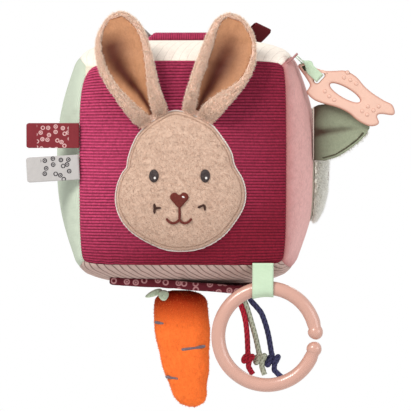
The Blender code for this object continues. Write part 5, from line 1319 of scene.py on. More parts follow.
def makeEar(side):
    ear = ears[side]
    thick = ears["thick"]
    shares = ear["start"] + (1 - ear["start"]) * np.sin(np.linspace(0.0, math.pi / 2, ears["rows"]))
    turns = np.sin(np.linspace(-math.pi / 2, math.pi / 2, ears["columns"]))
    share, turn = np.meshgrid(shares, turns, indexing="ij")
    low, high = earEdge(ear, share, 1), earEdge(ear, share, 2)
    across = low + (high - low) * (turn + 1) / 2
    length = np.linalg.norm(np.array(ear["tip"]) - ear["base"])
    inward = np.minimum((1 - np.abs(turn)) * (high - low) / 2, (1 - share) * length + 0.0002)
    soft = np.sqrt(1 - (1 - np.clip(inward / ears["rimRound"], 0.0, 1.0)) ** 2)
    linedLow, linedHigh = earEdge(ear, share, 3), earEdge(ear, share, 4)
    lined = np.maximum(linedLow - across, across - linedHigh)
    lined = np.maximum(lined, (share - 0.955) * length)
    rim = eased(lined / 0.0016 + 0.2)
    lumps = ripple(np.stack((share * length, across), axis=-1), 0.0034, ear["seed"]) * 0.00045
    slim = earSlimness(share)
    front = earPoint(ear, share, across, slim * (thick / 2 + (thick / 2 + (ears["rimRise"] + lumps) * rim) * soft))
    back = earPoint(ear, share, across, slim * (thick / 2 - (thick / 2 - 0.00002 + lumps * 0.3) * soft))
    points, faces = sheetShell(front, back)
    bend = ("block", f"{side}_ear", tuple(blockCentre + (0.0, 0.0, 0.0220)), tuple(blockCentre + (0.0, 0.0, 0.0360)))
    # Painted shade: darker towards the root on the front, and a little over the whole back
    shade = np.concatenate((np.clip(0.35 - share.ravel() * 4.0, 0.0, 0.35), np.full(share.size, 0.15)))
    measure = np.column_stack((np.tile(share.ravel() * length, 2), np.tile(across.ravel(), 2), shade))
    makePiece(f"{side}EarPlush", points, faces, "earPlush", None, [f"{side}_ear_back"], measure, bend)
    for grid, sign, count, seed in ((front, -1, 1.0, 1), (back, 1, 0.8, 2)):
        normals = gridNormals(grid)
        normals *= np.sign((normals[..., 1:2] * sign) + 1e-9)
        allowed = (rim > 0.55 if sign < 0 else np.ones_like(rim)) * (share > -0.075)
        roots, facing = scatter(grid, normals, int(ears["strands"] * count), ear["seed"] + seed, allowed)
        strands(f"{side}Ear{'Rim' if sign < 0 else 'Back'}Pile", roots, facing,
                {"seed": ear["seed"] + seed + 5, "lean": (0.0, 0.0, 0.25), "spread": 0.6, "length": 0.0017,
                 "width": 0.00011, "droop": (0.0, 0.0, 0.1)}, "earStrand", blend=bend)

    shares = np.linspace(0.0, 0.965, 90)
    turns = np.linspace(-1.0, 1.0, 45)
    share, turn = np.meshgrid(shares, turns, indexing="ij")
    linedLow, linedHigh = earEdge(ear, share, 3) - 0.0006, earEdge(ear, share, 4) + 0.0006
    across = linedLow + (linedHigh - linedLow) * (turn + 1) / 2
    inward = np.minimum((1 - np.abs(turn)) * (linedHigh - linedLow) / 2, (shares[-1] - share) * length)
    tucked = eased(inward / 0.0012)
    streaks = ripple(np.stack((share * length * 0.25, across), axis=-1), 0.0042, ear["seed"] + 3) * 0.00022
    streaks += ripple(np.stack((share * length, across), axis=-1), 0.010, ear["seed"] + 4) * 0.0004
    # Painted shade: dark down the valley and widening into the hollow, and a thin band at the lining's tucked edges
    valley = tableValue(ear["valley"], share) / 1000
    shade = np.exp(-((across - valley) / (tableValue(ear["spread"], share) / 1000)) ** 2) * tableValue(ear["deep"],
                                                                                                     share)
    shade = np.clip(shade + 0.15 * (1 - eased(inward / 0.0009)), 0.0, 1.0)
    slim = earSlimness(share)
    layers = (("EarLining", 0.0005, ears["liningThick"], "satin", "satin_peach", "ear_lining", 0.0007),
              ("EarFilm", 0.0001, 0.0002, "film", "film_clear", "ear_film", 0.0001))
    for label, lift, deep, finish, slotName, node, tuck in layers:
        top = slim * (thick + lift + (deep + streaks * (deep > 0.0005)) * (0.2 + 0.8 * tucked)
                      - tuck * (1 - tucked))
        outer = earPoint(ear, share, across, top)
        inner = earPoint(ear, share, across, top - deep * 0.9)
        points, faces = sheetShell(outer, inner)
        measure = np.column_stack((np.tile(share.ravel() * length, 2), np.tile(across.ravel(), 2),
                                   np.tile(shade.ravel(), 2)))
        makePiece(f"{side}{label}", points, faces, finish, None, [f"{side}_{node}"], measure, bend)
    print("ear", side, "made")


makeEar("left")
makeEar("right")


# Ribbon loops, tape and strap

def loopShell(inner, outer):
    # A closed loop of ribbon: stations round the loop, points across it, with both edges joined
    cross = np.concatenate((outer, inner[:, ::-1]), axis=1)
    stations, sides = cross.shape[:2]
    row, column = np.meshgrid(np.arange(stations), np.arange(sides), indexing="ij")
    nextRow, nextColumn = (row + 1) % stations, (column + 1) % sides
    faces = np.stack((row * sides + column, row * sides + nextColumn, nextRow * sides + nextColumn,
                      nextRow * sides + column), axis=-1).reshape(-1, 4)
    return cross.reshape(-1, 3), [faces]


def loopMeasure(line, across):
    # Distance round the loop and across the ribbon, for both sides of it
    run = np.concatenate(([0.0], np.cumsum(np.linalg.norm(np.diff(line, axis=0), axis=1))))
    both = np.concatenate((across, across[::-1]))
    return np.stack((np.repeat(run[:, None], len(both), axis=1), np.tile(both, (len(run), 1)),
                     np.zeros((len(run), len(both)))), axis=-1).reshape(-1, 3)


tags = {
    "width": 0.0150, "ribbon": 0.0005, "fold": 0.0008, "forward": 0.0008, "columns": 25, "wave": 0.0006,
    "corner": 0.0014,
    "length": 0.0318, "redUp": 0.0165, "greyUp": -0.0024, "greyTilt": 3.5,
    "greyTop": {"root": (-0.0309, 0.0440, 0.0746), "slant": 44.0, "length": 0.0150},
    "redTop": {"root": (0.03425, 0.0491, 0.0740), "along": (0.686, -0.343, 0.642), "across": (0.649, 0.687, -0.327),
               "length": 0.0180},
}


def foldedTag(name, root, along, across, length, finish, node, seed):
    # Out to the fold, round a half turn and back to the seam, with a slow wave that dies out at the seam
    root, along, across = (np.asarray(item, dtype=float) for item in (root, along, across))
    along, across = along / np.linalg.norm(along), across / np.linalg.norm(across)
    normal = np.cross(along, across)
    bend = tags["fold"]
    reach, start = length - bend - tags["ribbon"] / 2, bend + tags["ribbon"] / 2
    turn = np.linspace(-math.pi / 2, math.pi / 2, 11)
    straight = np.linspace(0.0, 1.0, 24)[1:-1]
    far = np.column_stack((reach + bend * np.cos(turn), bend * np.sin(turn)))
    near = np.column_stack((start - bend * np.cos(turn), -bend * np.sin(turn)))
    path = np.vstack((far, np.column_stack((reach + (start - reach) * straight, np.full(len(straight), bend))),
                      near, np.column_stack((start + (reach - start) * straight, np.full(len(straight), -bend)))))
    out = np.column_stack((np.roll(path[:, 1], -1) - np.roll(path[:, 1], 1),
                           np.roll(path[:, 0], 1) - np.roll(path[:, 0], -1)))
    out /= np.linalg.norm(out, axis=1)[:, None]
    steps = np.linspace(-0.5, 0.5, tags["columns"])
    grids = []
    for shift in (-0.5, 0.5):
        place = path + out * shift * tags["ribbon"]
        wave = tags["wave"] * np.sin(place[:, :1] / length * 4.2 + seed + steps[None] * 1.4) * (place[:, :1] / length)
        # The fold's corners are rounded off: a quarter circle off each end of the ribbon's width
        aside = np.clip((np.abs(steps) - 0.5) * tags["width"] + tags["corner"], 0.0, None)
        cut = tags["corner"] - np.sqrt(tags["corner"] ** 2 - aside ** 2)
        reached = np.minimum(place[:, :1], (length - cut)[None] - (length - place[:, :1]) * 0.2 * (cut > 0)[None])
        grids.append(root + reached[..., None] * along + place[:, None, 1:] * normal
                     + steps[None, :, None] * tags["width"] * across + wave[..., None] * normal)
    points, faces = loopShell(*grids)
    measure = loopMeasure(root + path[:, :1] * along + path[:, 1:] * normal, steps * tags["width"])
    measure[:, 0] = np.repeat(path[:, 0], 2 * tags["columns"])
    return makePiece(name, points, faces, finish, node, [node], measure)


def makeTags():
    seam = blockPoint((-1.0, -1.0, 0.0))
    forward = seam[1] - tags["forward"] - tags["fold"] - tags["ribbon"] / 2
    rootAcross = seam[0] + tags["fold"]
    tilt = math.radians(tags["greyTilt"])
    for name, up, angle, finish, slotName, seed in (("red", tags["redUp"], 0.0, "redRibbon", "ribbon_red", 0.4),
                                                    ("grey", tags["greyUp"], tilt, "greyRibbon", "ribbon_grey", 2.3)):
        piece = foldedTag(f"{name}SideTag", (rootAcross, forward, up), (-math.cos(angle), 0.0, -math.sin(angle)),
                          (-math.sin(angle), 0.0, math.cos(angle)), tags["length"], finish,
                          f"{name}_tag", seed)
    slant = math.radians(tags["greyTop"]["slant"])
    foldedTag("greyTopTag", tags["greyTop"]["root"], (-math.cos(slant), 0.0, math.sin(slant)),
              (math.sin(slant), 0.0, math.cos(slant)), tags["greyTop"]["length"], "plainGreyRibbon",
              "grey_top_tag", 1.0)
    foldedTag("redTopTag", tags["redTop"]["root"], tags["redTop"]["along"], tags["redTop"]["across"],
              tags["redTop"]["length"], "plainRedRibbon", "red_top_tag", 2.0)


strap = {
    "length": 0.0720, "middle": 0.0060, "width": 0.0200, "back": 0.0440, "thick": 0.0052, "under": 0.0760,
    "foot": 0.0016, "flat": 0.0560, "ribs": 50, "samples": 6, "ribHeight": 0.00060,
}


def makeStrap():
    # Feet on the top panel, lifted to one level over the middle; its upper side is padded and ribbed across
    count = np.linspace(0.0, strap["ribs"], strap["ribs"] * strap["samples"] + 1)
    run = (count / strap["ribs"] - 0.5) * strap["length"]
    turns = np.sin(np.linspace(-math.pi / 2, math.pi / 2, 17))
    along, turn = np.meshgrid(run, turns, indexing="ij")
    back = strap["back"] + strap["width"] / 2 * turn
    rise = strap["length"] / 2 - strap["foot"] - strap["flat"] / 2
    lifted = eased((strap["length"] / 2 - strap["foot"] - np.abs(along)) / rise)
    foot = skin(topFace, strap["middle"] + along, back) + block["gap"]
    under = foot * (1 - lifted) + strap["under"] * lifted
    ends = np.minimum(1.0, (strap["length"] / 2 - np.abs(along)) / 0.0016 + 0.15)
    inward = (1 - np.abs(turn)) * strap["width"] / 2
    soft = np.sqrt(1 - (1 - np.clip(inward / 0.0022, 0.0, 1.0)) ** 2) * ends
    rib = strap["ribHeight"] * (ribWave(count, 0.7)[:, None] - 0.4)
    middle = under + strap["thick"] * 0.45
    high = onFace(topFace, strap["middle"] + along, back, middle + (strap["thick"] * 0.55 + rib) * soft)
    low = onFace(topFace, strap["middle"] + along, back, middle - (strap["thick"] * 0.45 - rib * 0.4) * soft)
    points, faces = sheetShell(high, low)
    measure = np.column_stack((points[:, 0], points[:, 1], np.tile(np.repeat(count, len(turns)), 2)))
    makePiece("topStrapCorduroy", points, faces, "raspberry", "block", ["top_strap"], measure)
    for end in (-1, 1):
        place = strap["middle"] + end * (strap["length"] / 2 - strap["foot"] * 0.7)
        line = np.array([(place, strap["back"] + share * strap["width"] * 0.42) for share in (-1.0, 0.0, 1.0)])
        stitchLine(f"strapStitch{1 if end < 0 else 2}", line, 0.0008, 0.0007, topFace,
                   lambda one, two: skin(topFace, one, two), "raspberryThread", "corduroy_raspberry", "block",
                   pitch=0.0022, lift=block["gap"] + strap["thick"] * 0.98)


finishes["raspberryThread"] = threadFinish("raspberryThread", tone(150, 34, 74), tone(200, 90, 130))
makeTags()
makeStrap()
print("tags and strap made")


# Head on the right panel: long pale pile, a small stitched face, and two satin-fronted ears

sideHead = {
    "middle": (0.0, -0.0020), "width": 0.0620, "height": 0.0680, "rim": 0.0020, "crown": 0.0026,
    "backing": 0.0010, "edging": 0.0012, "strands": 16000,
    "shares": ((0.0, 0.5), (0.25, 0.46), (0.42, 0.3), (0.49, 0.06), (0.5, -0.14), (0.42, -0.34),
               (0.24, -0.47), (0.0, -0.5), (-0.24, -0.47), (-0.42, -0.34), (-0.5, -0.14),
               (-0.49, 0.06), (-0.42, 0.3), (-0.25, 0.46)),
    "eyeSize": 0.0060, "eyeSpread": 0.0270, "eyeUp": 0.0040, "noseWidth": 0.0100, "noseHeight": 0.0070,
    "noseUp": -0.0090,
}
sideLoop = loopOf(sideHead["shares"], sideHead["width"], sideHead["height"], *sideHead["middle"], 160)


def rightSkin(across, up):
    return skin(rightFace, across, up)


def sideBack(across, up):
    return rightSkin(across, up) + 2 * block["gap"] + sideHead["backing"]


def sideSkin(across, up):
    share = reachShare(sideLoop, sideHead["middle"], across, up)
    return sideBack(across, up) + sideHead["rim"] + sideHead["crown"] * (1 - share ** 3)


def makeSideHead():
    loop = grown(sideLoop, np.array(sideHead["middle"]), sideHead["edging"])
    points, faces, measure, front = domeShell(rightFace, loop, sideHead["middle"], rightSkin,
                                              roundedProfile(14, sideHead["backing"], edgePower=30.0),
                                              lift=block["gap"])
    measure[:, 0] = np.arctan2(measure[:, 1], measure[:, 0]) * 0.033
    makePiece("sideHeadEdging", points, faces, "sideEdging", "block", ["side_head_backing"], measure)

    def lumps(places, reach):
        return (ripple(places, 0.0060, 51) + ripple(places, 0.0024, 52)) * 0.0004
    points, faces, measure, front = domeShell(rightFace, sideLoop, sideHead["middle"], sideBack,
                                              roundedProfile(70, sideHead["rim"], sideHead["crown"]), lumps)
    measure[:, 2] = 0.0
    makePiece("sideHeadPile", points, faces, "fluff", "block", ["side_head"], measure)
    normals = gridNormals(front, True)
    normals *= np.sign(normals[..., :1] + 1e-9)
    closed = np.concatenate((front, front[:, :1]), axis=1)
    facing = np.concatenate((normals, normals[:, :1]), axis=1)
    middle = closed[..., 1:]
    clear = np.ones(closed.shape[:2])
    for across, up, size in ((-sideHead["eyeSpread"] / 2, sideHead["eyeUp"], sideHead["eyeSize"]),
                             (sideHead["eyeSpread"] / 2, sideHead["eyeUp"], sideHead["eyeSize"]),
                             (0.0, sideHead["noseUp"], sideHead["noseWidth"])):
        clear *= np.hypot(middle[..., 0] - across, middle[..., 1] - up) > size * 0.62
    roots, facing = scatter(closed[:-2], facing[:-2], sideHead["strands"], 53, clear[:-2])
    strands("sideHeadFibres", roots, facing, {"seed": 54, "lean": (0.0, 0.0, -0.5), "spread": 0.6, "length": 0.0030,
                                              "width": 0.00014, "droop": (0.0, 0.0, -0.25)}, "fluffStrand",
            "block")
    for name, node, side in (("sideNearEye", "side_left_eye", -1), ("sideFarEye", "side_right_eye", 1)):
        middle = (side * sideHead["eyeSpread"] / 2, sideHead["eyeUp"])
        mark(name, ellipse(sideHead["eyeSize"], sideHead["eyeSize"], *middle, 30), middle, 0.0016, "darkThread",
             [node], sideSkin, rightFace)
    middle = (0.0, sideHead["noseUp"])
    mark("sideNoseStitch", ellipse(sideHead["noseWidth"], sideHead["noseHeight"], *middle, 36), middle, 0.0018,
         "brownThread", ["side_nose"], sideSkin, rightFace)


sideEars = {
    "back": 0.0350, "rootGap": 0.0005, "reach": 0.0345, "plush": 0.0026, "satin": 0.0012, "middle": 0.0178,
    "span": 0.0340, "satinShare": 1.0, "plushShare": 0.96, "satinStart": 0.02, "strands": 5000, "cup": 0.0012,
    "topstitch": 0.0018, "rootWidth": 0.94, "darkReach": 0.0085,
    # Lower and upper edges, in millimetres, at each share of the reach
    "low": ((0.0, 1.4), (0.2, 1.0), (0.42, 3.2), (0.62, 7.4), (0.83, 13.0), (0.94, 17.5), (1.0, 20.8)),
    "high": ((0.0, 33.3), (0.09, 35.0), (0.3, 35.8), (0.5, 34.8), (0.7, 31.5), (0.85, 27.5), (0.97, 23.8), (1.0, 22.4)),
}


def makeSideEar(name, side):
    # A D shape standing out from the panel, between a lower and an upper edge at each share of the reach
    inner = min(sideEars["back"], abs(side * sideEars["back"] + sideEars["plush"]))
    rootLow = sideEars["middle"] - sideEars["span"] / 2 * sideEars["rootWidth"]
    rootOut = float(rightSkin(inner, rootLow)) + sideEars["rootGap"]
    rows = np.sin(np.linspace(0.0, math.pi / 2, 60))
    turns = np.sin(np.linspace(-math.pi / 2, math.pi / 2, 41))
    place = side * sideEars["back"]

    def middleAt(share):
        return (tableValue(sideEars["low"], share) + tableValue(sideEars["high"], share)) / 2000

    def halfAt(share):
        return (tableValue(sideEars["high"], share) - tableValue(sideEars["low"], share)) / 2000

    def sheetAt(share, turn, reach, offset):
        cup = -sideEars["cup"] * (1 - turn ** 2 * reach ** 2) * eased(share / 0.3) * 0.6
        return np.stack((rootOut + share * sideEars["reach"], np.full_like(share, place) + offset - cup,
                         middleAt(share) + turn * reach * halfAt(share)), axis=-1)
    share, turn = np.meshgrid(rows * sideEars["plushShare"], turns, indexing="ij")
    inward = np.minimum((1 - np.abs(turn)) * halfAt(share), (share[-1, 0] - share) * sideEars["reach"] + 0.0003)
    soft = np.sqrt(1 - (1 - np.clip(inward / 0.0016, 0.0, 1.0)) ** 2)
    front = sheetAt(share, turn, sideEars["plushShare"], sideEars["plush"] * 0.5 * (1 - soft))
    back = sheetAt(share, turn, sideEars["plushShare"], sideEars["plush"] * (0.5 + 0.5 * soft))
    points, faces = sheetShell(front, back)
    measure = np.column_stack((points[:, 0], points[:, 2], np.zeros(len(points))))
    makePiece(f"{name}EarPile", points, faces, "fluff", f"side_{name}_ear", [f"side_{name}_ear_back"],
              measure)
    normals = gridNormals(back)
    normals *= np.sign(normals[..., 1:2] + 1e-9)
    roots, facing = scatter(back, normals, sideEars["strands"], 61 + side)
    strands(f"{name}EarFibres", roots, facing, {"seed": 63 + side, "lean": (0.2, 0.0, -0.3), "spread": 0.5,
                                                "length": 0.0020, "width": 0.00013, "droop": (0.0, 0.0, -0.4)},
            "fluffStrand", f"side_{name}_ear")

    rows = sideEars["satinStart"] + (1 - sideEars["satinStart"]) * rows * sideEars["satinShare"]
    share, turn = np.meshgrid(rows, turns, indexing="ij")
    reach = sideEars["satinShare"]
    half = halfAt(share) * reach
    inward = np.minimum(np.minimum((1 - np.abs(turn)) * half, (rows[-1] - share) * sideEars["reach"]),
                        (share - rows[0]) * sideEars["reach"] + 0.0006)
    soft = np.sqrt(1 - (1 - np.clip(inward / 0.0011, 0.0, 1.0)) ** 2)
    crease = np.exp(-((turn + 0.05) / 0.10) ** 2) * 0.0007 * (1 - eased((share - 0.45) / 0.4))
    pull = ripple(np.stack((share * 0.012, turn * half), axis=-1), 0.0048, 65 + side) * 0.00018
    thick = sideEars["satin"] * (0.35 + 0.65 * soft) - crease + pull
    front = sheetAt(share, turn, reach, -block["gap"] - thick)
    back = sheetAt(share, turn, reach, -block["gap"])
    points, faces = sheetShell(front, back)
    # Painted shade: darkest at the block, along the crease and behind the top of the satin
    dark = np.exp(-share * sideEars["reach"] / sideEars["darkReach"]) + 0.55 * np.exp(-((turn - 0.02) / 0.13) ** 2) * (
        1 - eased((share - 0.5) / 0.4))
    dark = np.tile(np.clip(dark + 0.25 * eased((turn - 0.35) / 0.6), 0.0, 1.0).ravel(), 2)
    measure = np.column_stack((points[:, 0], points[:, 2], dark))
    makePiece(f"{name}EarSatin", points, faces, "sageSatin", f"side_{name}_ear",
              [f"side_{name}_ear_satin"], measure)
    # Dark topstitching a little inside the satin's lower edge, from near the block round to the tip
    steps = np.linspace(0.16, 0.93, 40)
    slope = np.gradient(middleAt(steps) - halfAt(steps), steps * sideEars["reach"])
    inset = sideEars["topstitch"] / np.hypot(slope, 1.0)
    edge = np.column_stack((rootOut + steps * sideEars["reach"] - slope * inset,
                            middleAt(steps) - halfAt(steps) + inset))
    cupAt = sideEars["cup"] * 0.3
    stitchLine(f"{name}EarTopstitch", edge, 0.0009, 0.0006, frontFace,
               lambda one, two: np.full_like(one, -place + block["gap"] + sideEars["satin"] - cupAt),
               "sageThread", "satin_sage", f"side_{name}_ear", pitch=0.0017)


finishes["sideEdging"] = clothFinish("greyFeltEdging", tone(172, 160, 144), 0.0005, 1.0, 0.7, 0.2)
finishes["dashThread"] = threadFinish("dashThread", tone(112, 100, 108), tone(170, 160, 168))
finishes["sageThread"] = threadFinish("sageThread", tone(70, 66, 50), tone(120, 116, 92))
# The ears' own ranges of across and up are those of the front face: across is the reach and up the height
makeSideHead()
makeSideEar("near", -1)
makeSideEar("far", 1)
print("side head made")


# Teether: a flat silicone plate with rounded rims, a finger hole, a ribbon slot and raised dots on both sides

teether = {
    "middle": (0.0984, 0.0413), "width": 0.0586, "height": 0.0380, "thick": 0.0058, "rounding": 0.0017,
    "hole": (0.0976, 0.0423), "holeLength": 0.0208, "holeWidth": 0.0060, "holeTurn": -30.0,
    "rimShade": 1.35, "dotShade": 0.8,
    "slot": (0.0820, 0.0513), "slotLength": 0.0076, "slotWidth": 0.0034, "root": (0.0676, 0.0649),
    "shares": (
        (-0.500, 0.455), (-0.442, 0.500), (-0.390, 0.490), (-0.315, 0.425), (-0.220, 0.378), (-0.105, 0.378),
        (-0.025, 0.382), (0.052, 0.335), (0.115, 0.262), (0.188, 0.130), (0.272, 0.020), (0.385, -0.092),
        (0.470, -0.160), (0.500, -0.270), (0.478, -0.330), (0.360, -0.312), (0.318, -0.345), (0.338, -0.450),
        (0.300, -0.500), (0.226, -0.500), (0.120, -0.420), (0.026, -0.300), (-0.090, -0.210), (-0.250, -0.140),
        (-0.340, -0.080), (-0.410, 0.030), (-0.388, 0.105), (-0.378, 0.160), (-0.424, 0.280)),
    "dots": ((0.0970, 0.0515), (0.1008, 0.0500), (0.1044, 0.0478), (0.0990, 0.0545), (0.0854, 0.0432),
             (0.0880, 0.0402), (0.0911, 0.0380), (0.1080, 0.0312), (0.1110, 0.0290), (0.1148, 0.0316),
             (0.1180, 0.0340), (0.1114, 0.0340)),
    "dotRadius": 0.0014, "dotHeight": 0.0007, "earGap": 0.0005,
}
ribbonForm = {"width": 0.0060, "thick": 0.0006, "clearance": 0.0005, "turnStart": 0.22, "openShare": 0.45,
              "columns": 7}


def teetherMiddle():
    return -(sideEars["back"] + block["gap"] + sideEars["satin"] + teether["earGap"] + teether["thick"] / 2)


def ribbonRun():
    run = np.array(teether["slot"]) - teether["root"]
    return run / np.linalg.norm(run), float(np.linalg.norm(run))


def makeTeether():
    along = ribbonRun()[0]
    half = np.linspace(-math.pi / 2, math.pi / 2, 13)
    radius = teether["slotWidth"] / 2
    straight = teether["slotLength"] / 2 - radius
    slotPath = np.vstack((np.column_stack((straight + radius * np.cos(half), radius * np.sin(half))),
                          np.column_stack((-straight - radius * np.cos(half), -radius * np.sin(half)))))
    side = np.array((-along[1], along[0]))
    loops = [loopOf(teether["shares"], teether["width"], teether["height"], *teether["middle"], 220),
             ellipse(teether["holeLength"], teether["holeWidth"], *teether["hole"], 72,
                     math.radians(teether["holeTurn"])),
             slotPath[:, :1] * side + slotPath[:, 1:] * along + teether["slot"]]
    bends = np.concatenate((np.linspace(-90.0, 0.0, 7), np.linspace(0.0, 90.0, 7)))
    sides = np.repeat((-1, 1), 7)
    work = bmesh.new()
    rims = ([], [])
    for order, loop in enumerate(loops):
        after = np.roll(loop, -1, axis=0)
        if ((loop[:, 0] * after[:, 1] - after[:, 0] * loop[:, 1]).sum() > 0) != (order == 0):
            loop = loop[::-1]
        run = np.roll(loop, -1, axis=0) - np.roll(loop, 1, axis=0)
        run /= np.linalg.norm(run, axis=1)[:, None]
        inward = np.column_stack((-run[:, 1], run[:, 0]))
        rounding = teether["rounding"]
        rings = []
        for bend, facing in zip(np.radians(bends), sides):
            flat = loop + inward * rounding * (1 - math.cos(bend))
            out = teetherMiddle() - facing * (teether["thick"] / 2 - rounding) - rounding * math.sin(bend)
            rings.append([work.verts.new((one, out, two)) for one, two in flat])
        for ring, above in zip(rings, rings[1:]):
            for step in range(len(ring)):
                follow = (step + 1) % len(ring)
                work.faces.new((ring[step], ring[follow], above[follow], above[step]))
        for rim, ring in zip(rims, (rings[0], rings[-1])):
            rim += [work.edges.get((ring[step], ring[(step + 1) % len(ring)])) for step in range(len(ring))]
    for rim in rims:
        bmesh.ops.triangle_fill(work, edges=rim, use_beauty=True)
    bmesh.ops.recalc_face_normals(work, faces=work.faces)
    work.verts.index_update()
    points = np.array([corner.co for corner in work.verts])
    # Painted shade, darkest half way round each rim
    bent = np.abs(points[:, 1] - teetherMiddle()) / (teether["thick"] / 2)
    measure = np.column_stack((points[:, 0], points[:, 2], np.clip(teether["rimShade"] * (1 - bent ** 3), 0.0, 1.0)))
    faces = [np.array([[corner.index for corner in side.verts] for side in work.faces if len(side.verts) == count])
             for count in (3, 4)]
    work.free()
    makePiece("teetherPlate", points, faces, "silicone", "teether", ["teether"], measure,
              smooth=38.0)
    # The dots: each a low dome, the cosine of the reach from its middle
    reach = np.linspace(0.08, 1.0, 8)
    turn = np.linspace(0.0, 2 * math.pi, 20, endpoint=False)
    for face, name in ((-1, "Front"), (1, "Back")):
        points, faces, total = [], [], 0
        for one, two in teether["dots"]:
            rise = teether["thick"] / 2 + teether["dotHeight"] * np.cos(reach * math.pi / 2) - 0.0001
            rings = np.stack((one + reach[:, None] * teether["dotRadius"] * np.cos(turn),
                              np.broadcast_to((teetherMiddle() + face * rise)[:, None], (len(reach), len(turn))),
                              two + reach[:, None] * teether["dotRadius"] * np.sin(turn)), axis=-1)
            dot, sets = tubeShell(rings)
            points.append(dot)
            faces.append([number + total for number in sets])
            total += len(dot)
        points = np.vstack(points)
        # Painted shade, darkest round the foot of each dot
        raised = (np.abs(points[:, 1] - teetherMiddle()) - teether["thick"] / 2) / teether["dotHeight"]
        shade = np.clip(teether["dotShade"] * (1 - 2 * raised), 0.0, teether["dotShade"])
        measure = np.column_stack((points[:, 0], points[:, 2], shade))
        makePiece(f"teetherDots{name}", points, [part for sets in faces for part in sets], "silicone",
                  "teether", cloth=measure)


def makeTeetherRibbon():
    # From the corner seam it turns a quarter as it opens, passes through the slot and comes back
    direction, run = ribbonRun()
    along = np.array((direction[0], 0.0, direction[1]))
    level = np.array((0.0, 1.0, 0.0))
    above = np.cross(level, along)
    root = np.array((teether["root"][0], teetherMiddle(), teether["root"][1]))
    thick = ribbonForm["thick"]
    wide = teether["thick"] / 2 + ribbonForm["clearance"] + thick / 2
    shares = np.linspace(0.0, 1.0, 40)
    opened = eased((shares - ribbonForm["turnStart"]) / ribbonForm["openShare"])
    turn = math.pi / 2 * (1 - opened)
    normal = np.cos(turn)[:, None] * level + np.sin(turn)[:, None] * above
    apart = (thick + (wide - thick) * opened)[:, None]
    middle = root + shares[:, None] * (run - thick) * along
    width = np.cross(along, normal)
    bend = np.linspace(0.0, math.pi, 13)[1:-1]
    fold = root + (run - thick) * along + np.sin(bend)[:, None] * thick * 1.6 * along
    fold = fold + np.cos(bend)[:, None] * wide * level
    foldOut = np.sin(bend)[:, None] * along + np.cos(bend)[:, None] * level
    line = np.vstack((middle + apart * normal, fold, (middle - apart * normal)[::-1], [root - thick * along]))
    out = np.vstack((normal, foldOut, -normal[::-1], [-along]))
    across = np.vstack((width, np.repeat(width[-1:], len(bend), axis=0), width[::-1], [np.cross(along, above)]))
    steps = np.linspace(-0.5, 0.5, ribbonForm["columns"])
    grids = [(line + out * shift * thick)[:, None] + steps[None, :, None] * ribbonForm["width"] * across[:, None]
             for shift in (-0.5, 0.5)]
    points, faces = loopShell(*grids)
    makePiece("teetherRibbonLoop", points, faces, "mintRibbon", "teether_ribbon", ["teether_ribbon"],
              loopMeasure(line, steps * ribbonForm["width"]))


cornerTape = {"low": (0.0594, 0.0580), "high": (0.0686, 0.0662), "front": -0.0560, "rear": -0.0460, "thick": 0.0011}


def makeCornerTape():
    # A folded tape edge standing out of the top right seam
    low, high = np.array(cornerTape["low"]), np.array(cornerTape["high"])
    direction = (high - low) / np.linalg.norm(high - low)
    side = np.array((-direction[1], direction[0])) * cornerTape["thick"] / 2
    steps = np.linspace(0.0, 1.0, 12)[:, None]
    line = low + steps * (high - low) + np.sin(steps * 2.4) * 0.0004 * np.array((1.0, -1.0))
    backs = np.linspace(cornerTape["front"], cornerTape["rear"], 7)
    grids = [np.stack([np.column_stack((line[:, 0] + sign * side[0], np.full(len(line), back),
                                        line[:, 1] + sign * side[1])) for back in backs], axis=1) for sign in (1, -1)]
    points, faces = sheetShell(*grids)
    measure = np.column_stack((points[:, 0], points[:, 1], np.zeros(len(points))))
    makePiece("cornerSeamTape", points, faces, "mauveRibbon", "block", cloth=measure)


makeTeether()
makeTeetherRibbon()
makeCornerTape()
print("teether made")


# Open ring on its ribbon

ring = {
    "radius": 0.0292, "tube": 0.0042, "ball": 0.0046, "middle": (0.0508, -0.1042), "back": -0.0634,
    "gap": -4.5, "ballGap": 0.0012, "stations": 150, "sides": 28,
}
ringRibbon = {"middle": 0.0484, "width": 0.0126, "thick": 0.0006, "clearance": 0.0006, "fold": 0.0007,
              "root": -0.0606, "columns": 11}


def makeRing():
    # A round bar round a circle, its radius swelling to a ball at each end
    ballTurn = (ring["ball"] + ring["ballGap"] / 2) / ring["radius"]
    start = math.radians(ring["gap"]) + ballTurn
    end = start + 2 * math.pi - 2 * ballTurn
    cap = np.radians(np.linspace(-88.0, 34.0, 18))
    ballTurns, ballRadii = np.sin(cap) * ring["ball"] / ring["radius"], np.cos(cap) * ring["ball"]
    turns = np.linspace(start, end, ring["stations"])
    inside = np.abs(turns - (start + end) / 2) < (end - start) / 2 - ballTurn
    turns = np.concatenate((start + ballTurns, turns[inside], (end - ballTurns)[::-1]))
    radii = np.concatenate((ballRadii, np.full(inside.sum(), ring["tube"]), ballRadii[::-1]))
    line = np.column_stack((ring["middle"][0] + ring["radius"] * np.cos(turns), np.full(len(turns), ring["back"]),
                            ring["middle"][1] + ring["radius"] * np.sin(turns)))
    points, faces = tubeShell(tubeRings(line, radii, ring["sides"]))
    makePiece("hangingRingBar", points, faces, "ring", "hanging_ring", ["hanging_ring"])


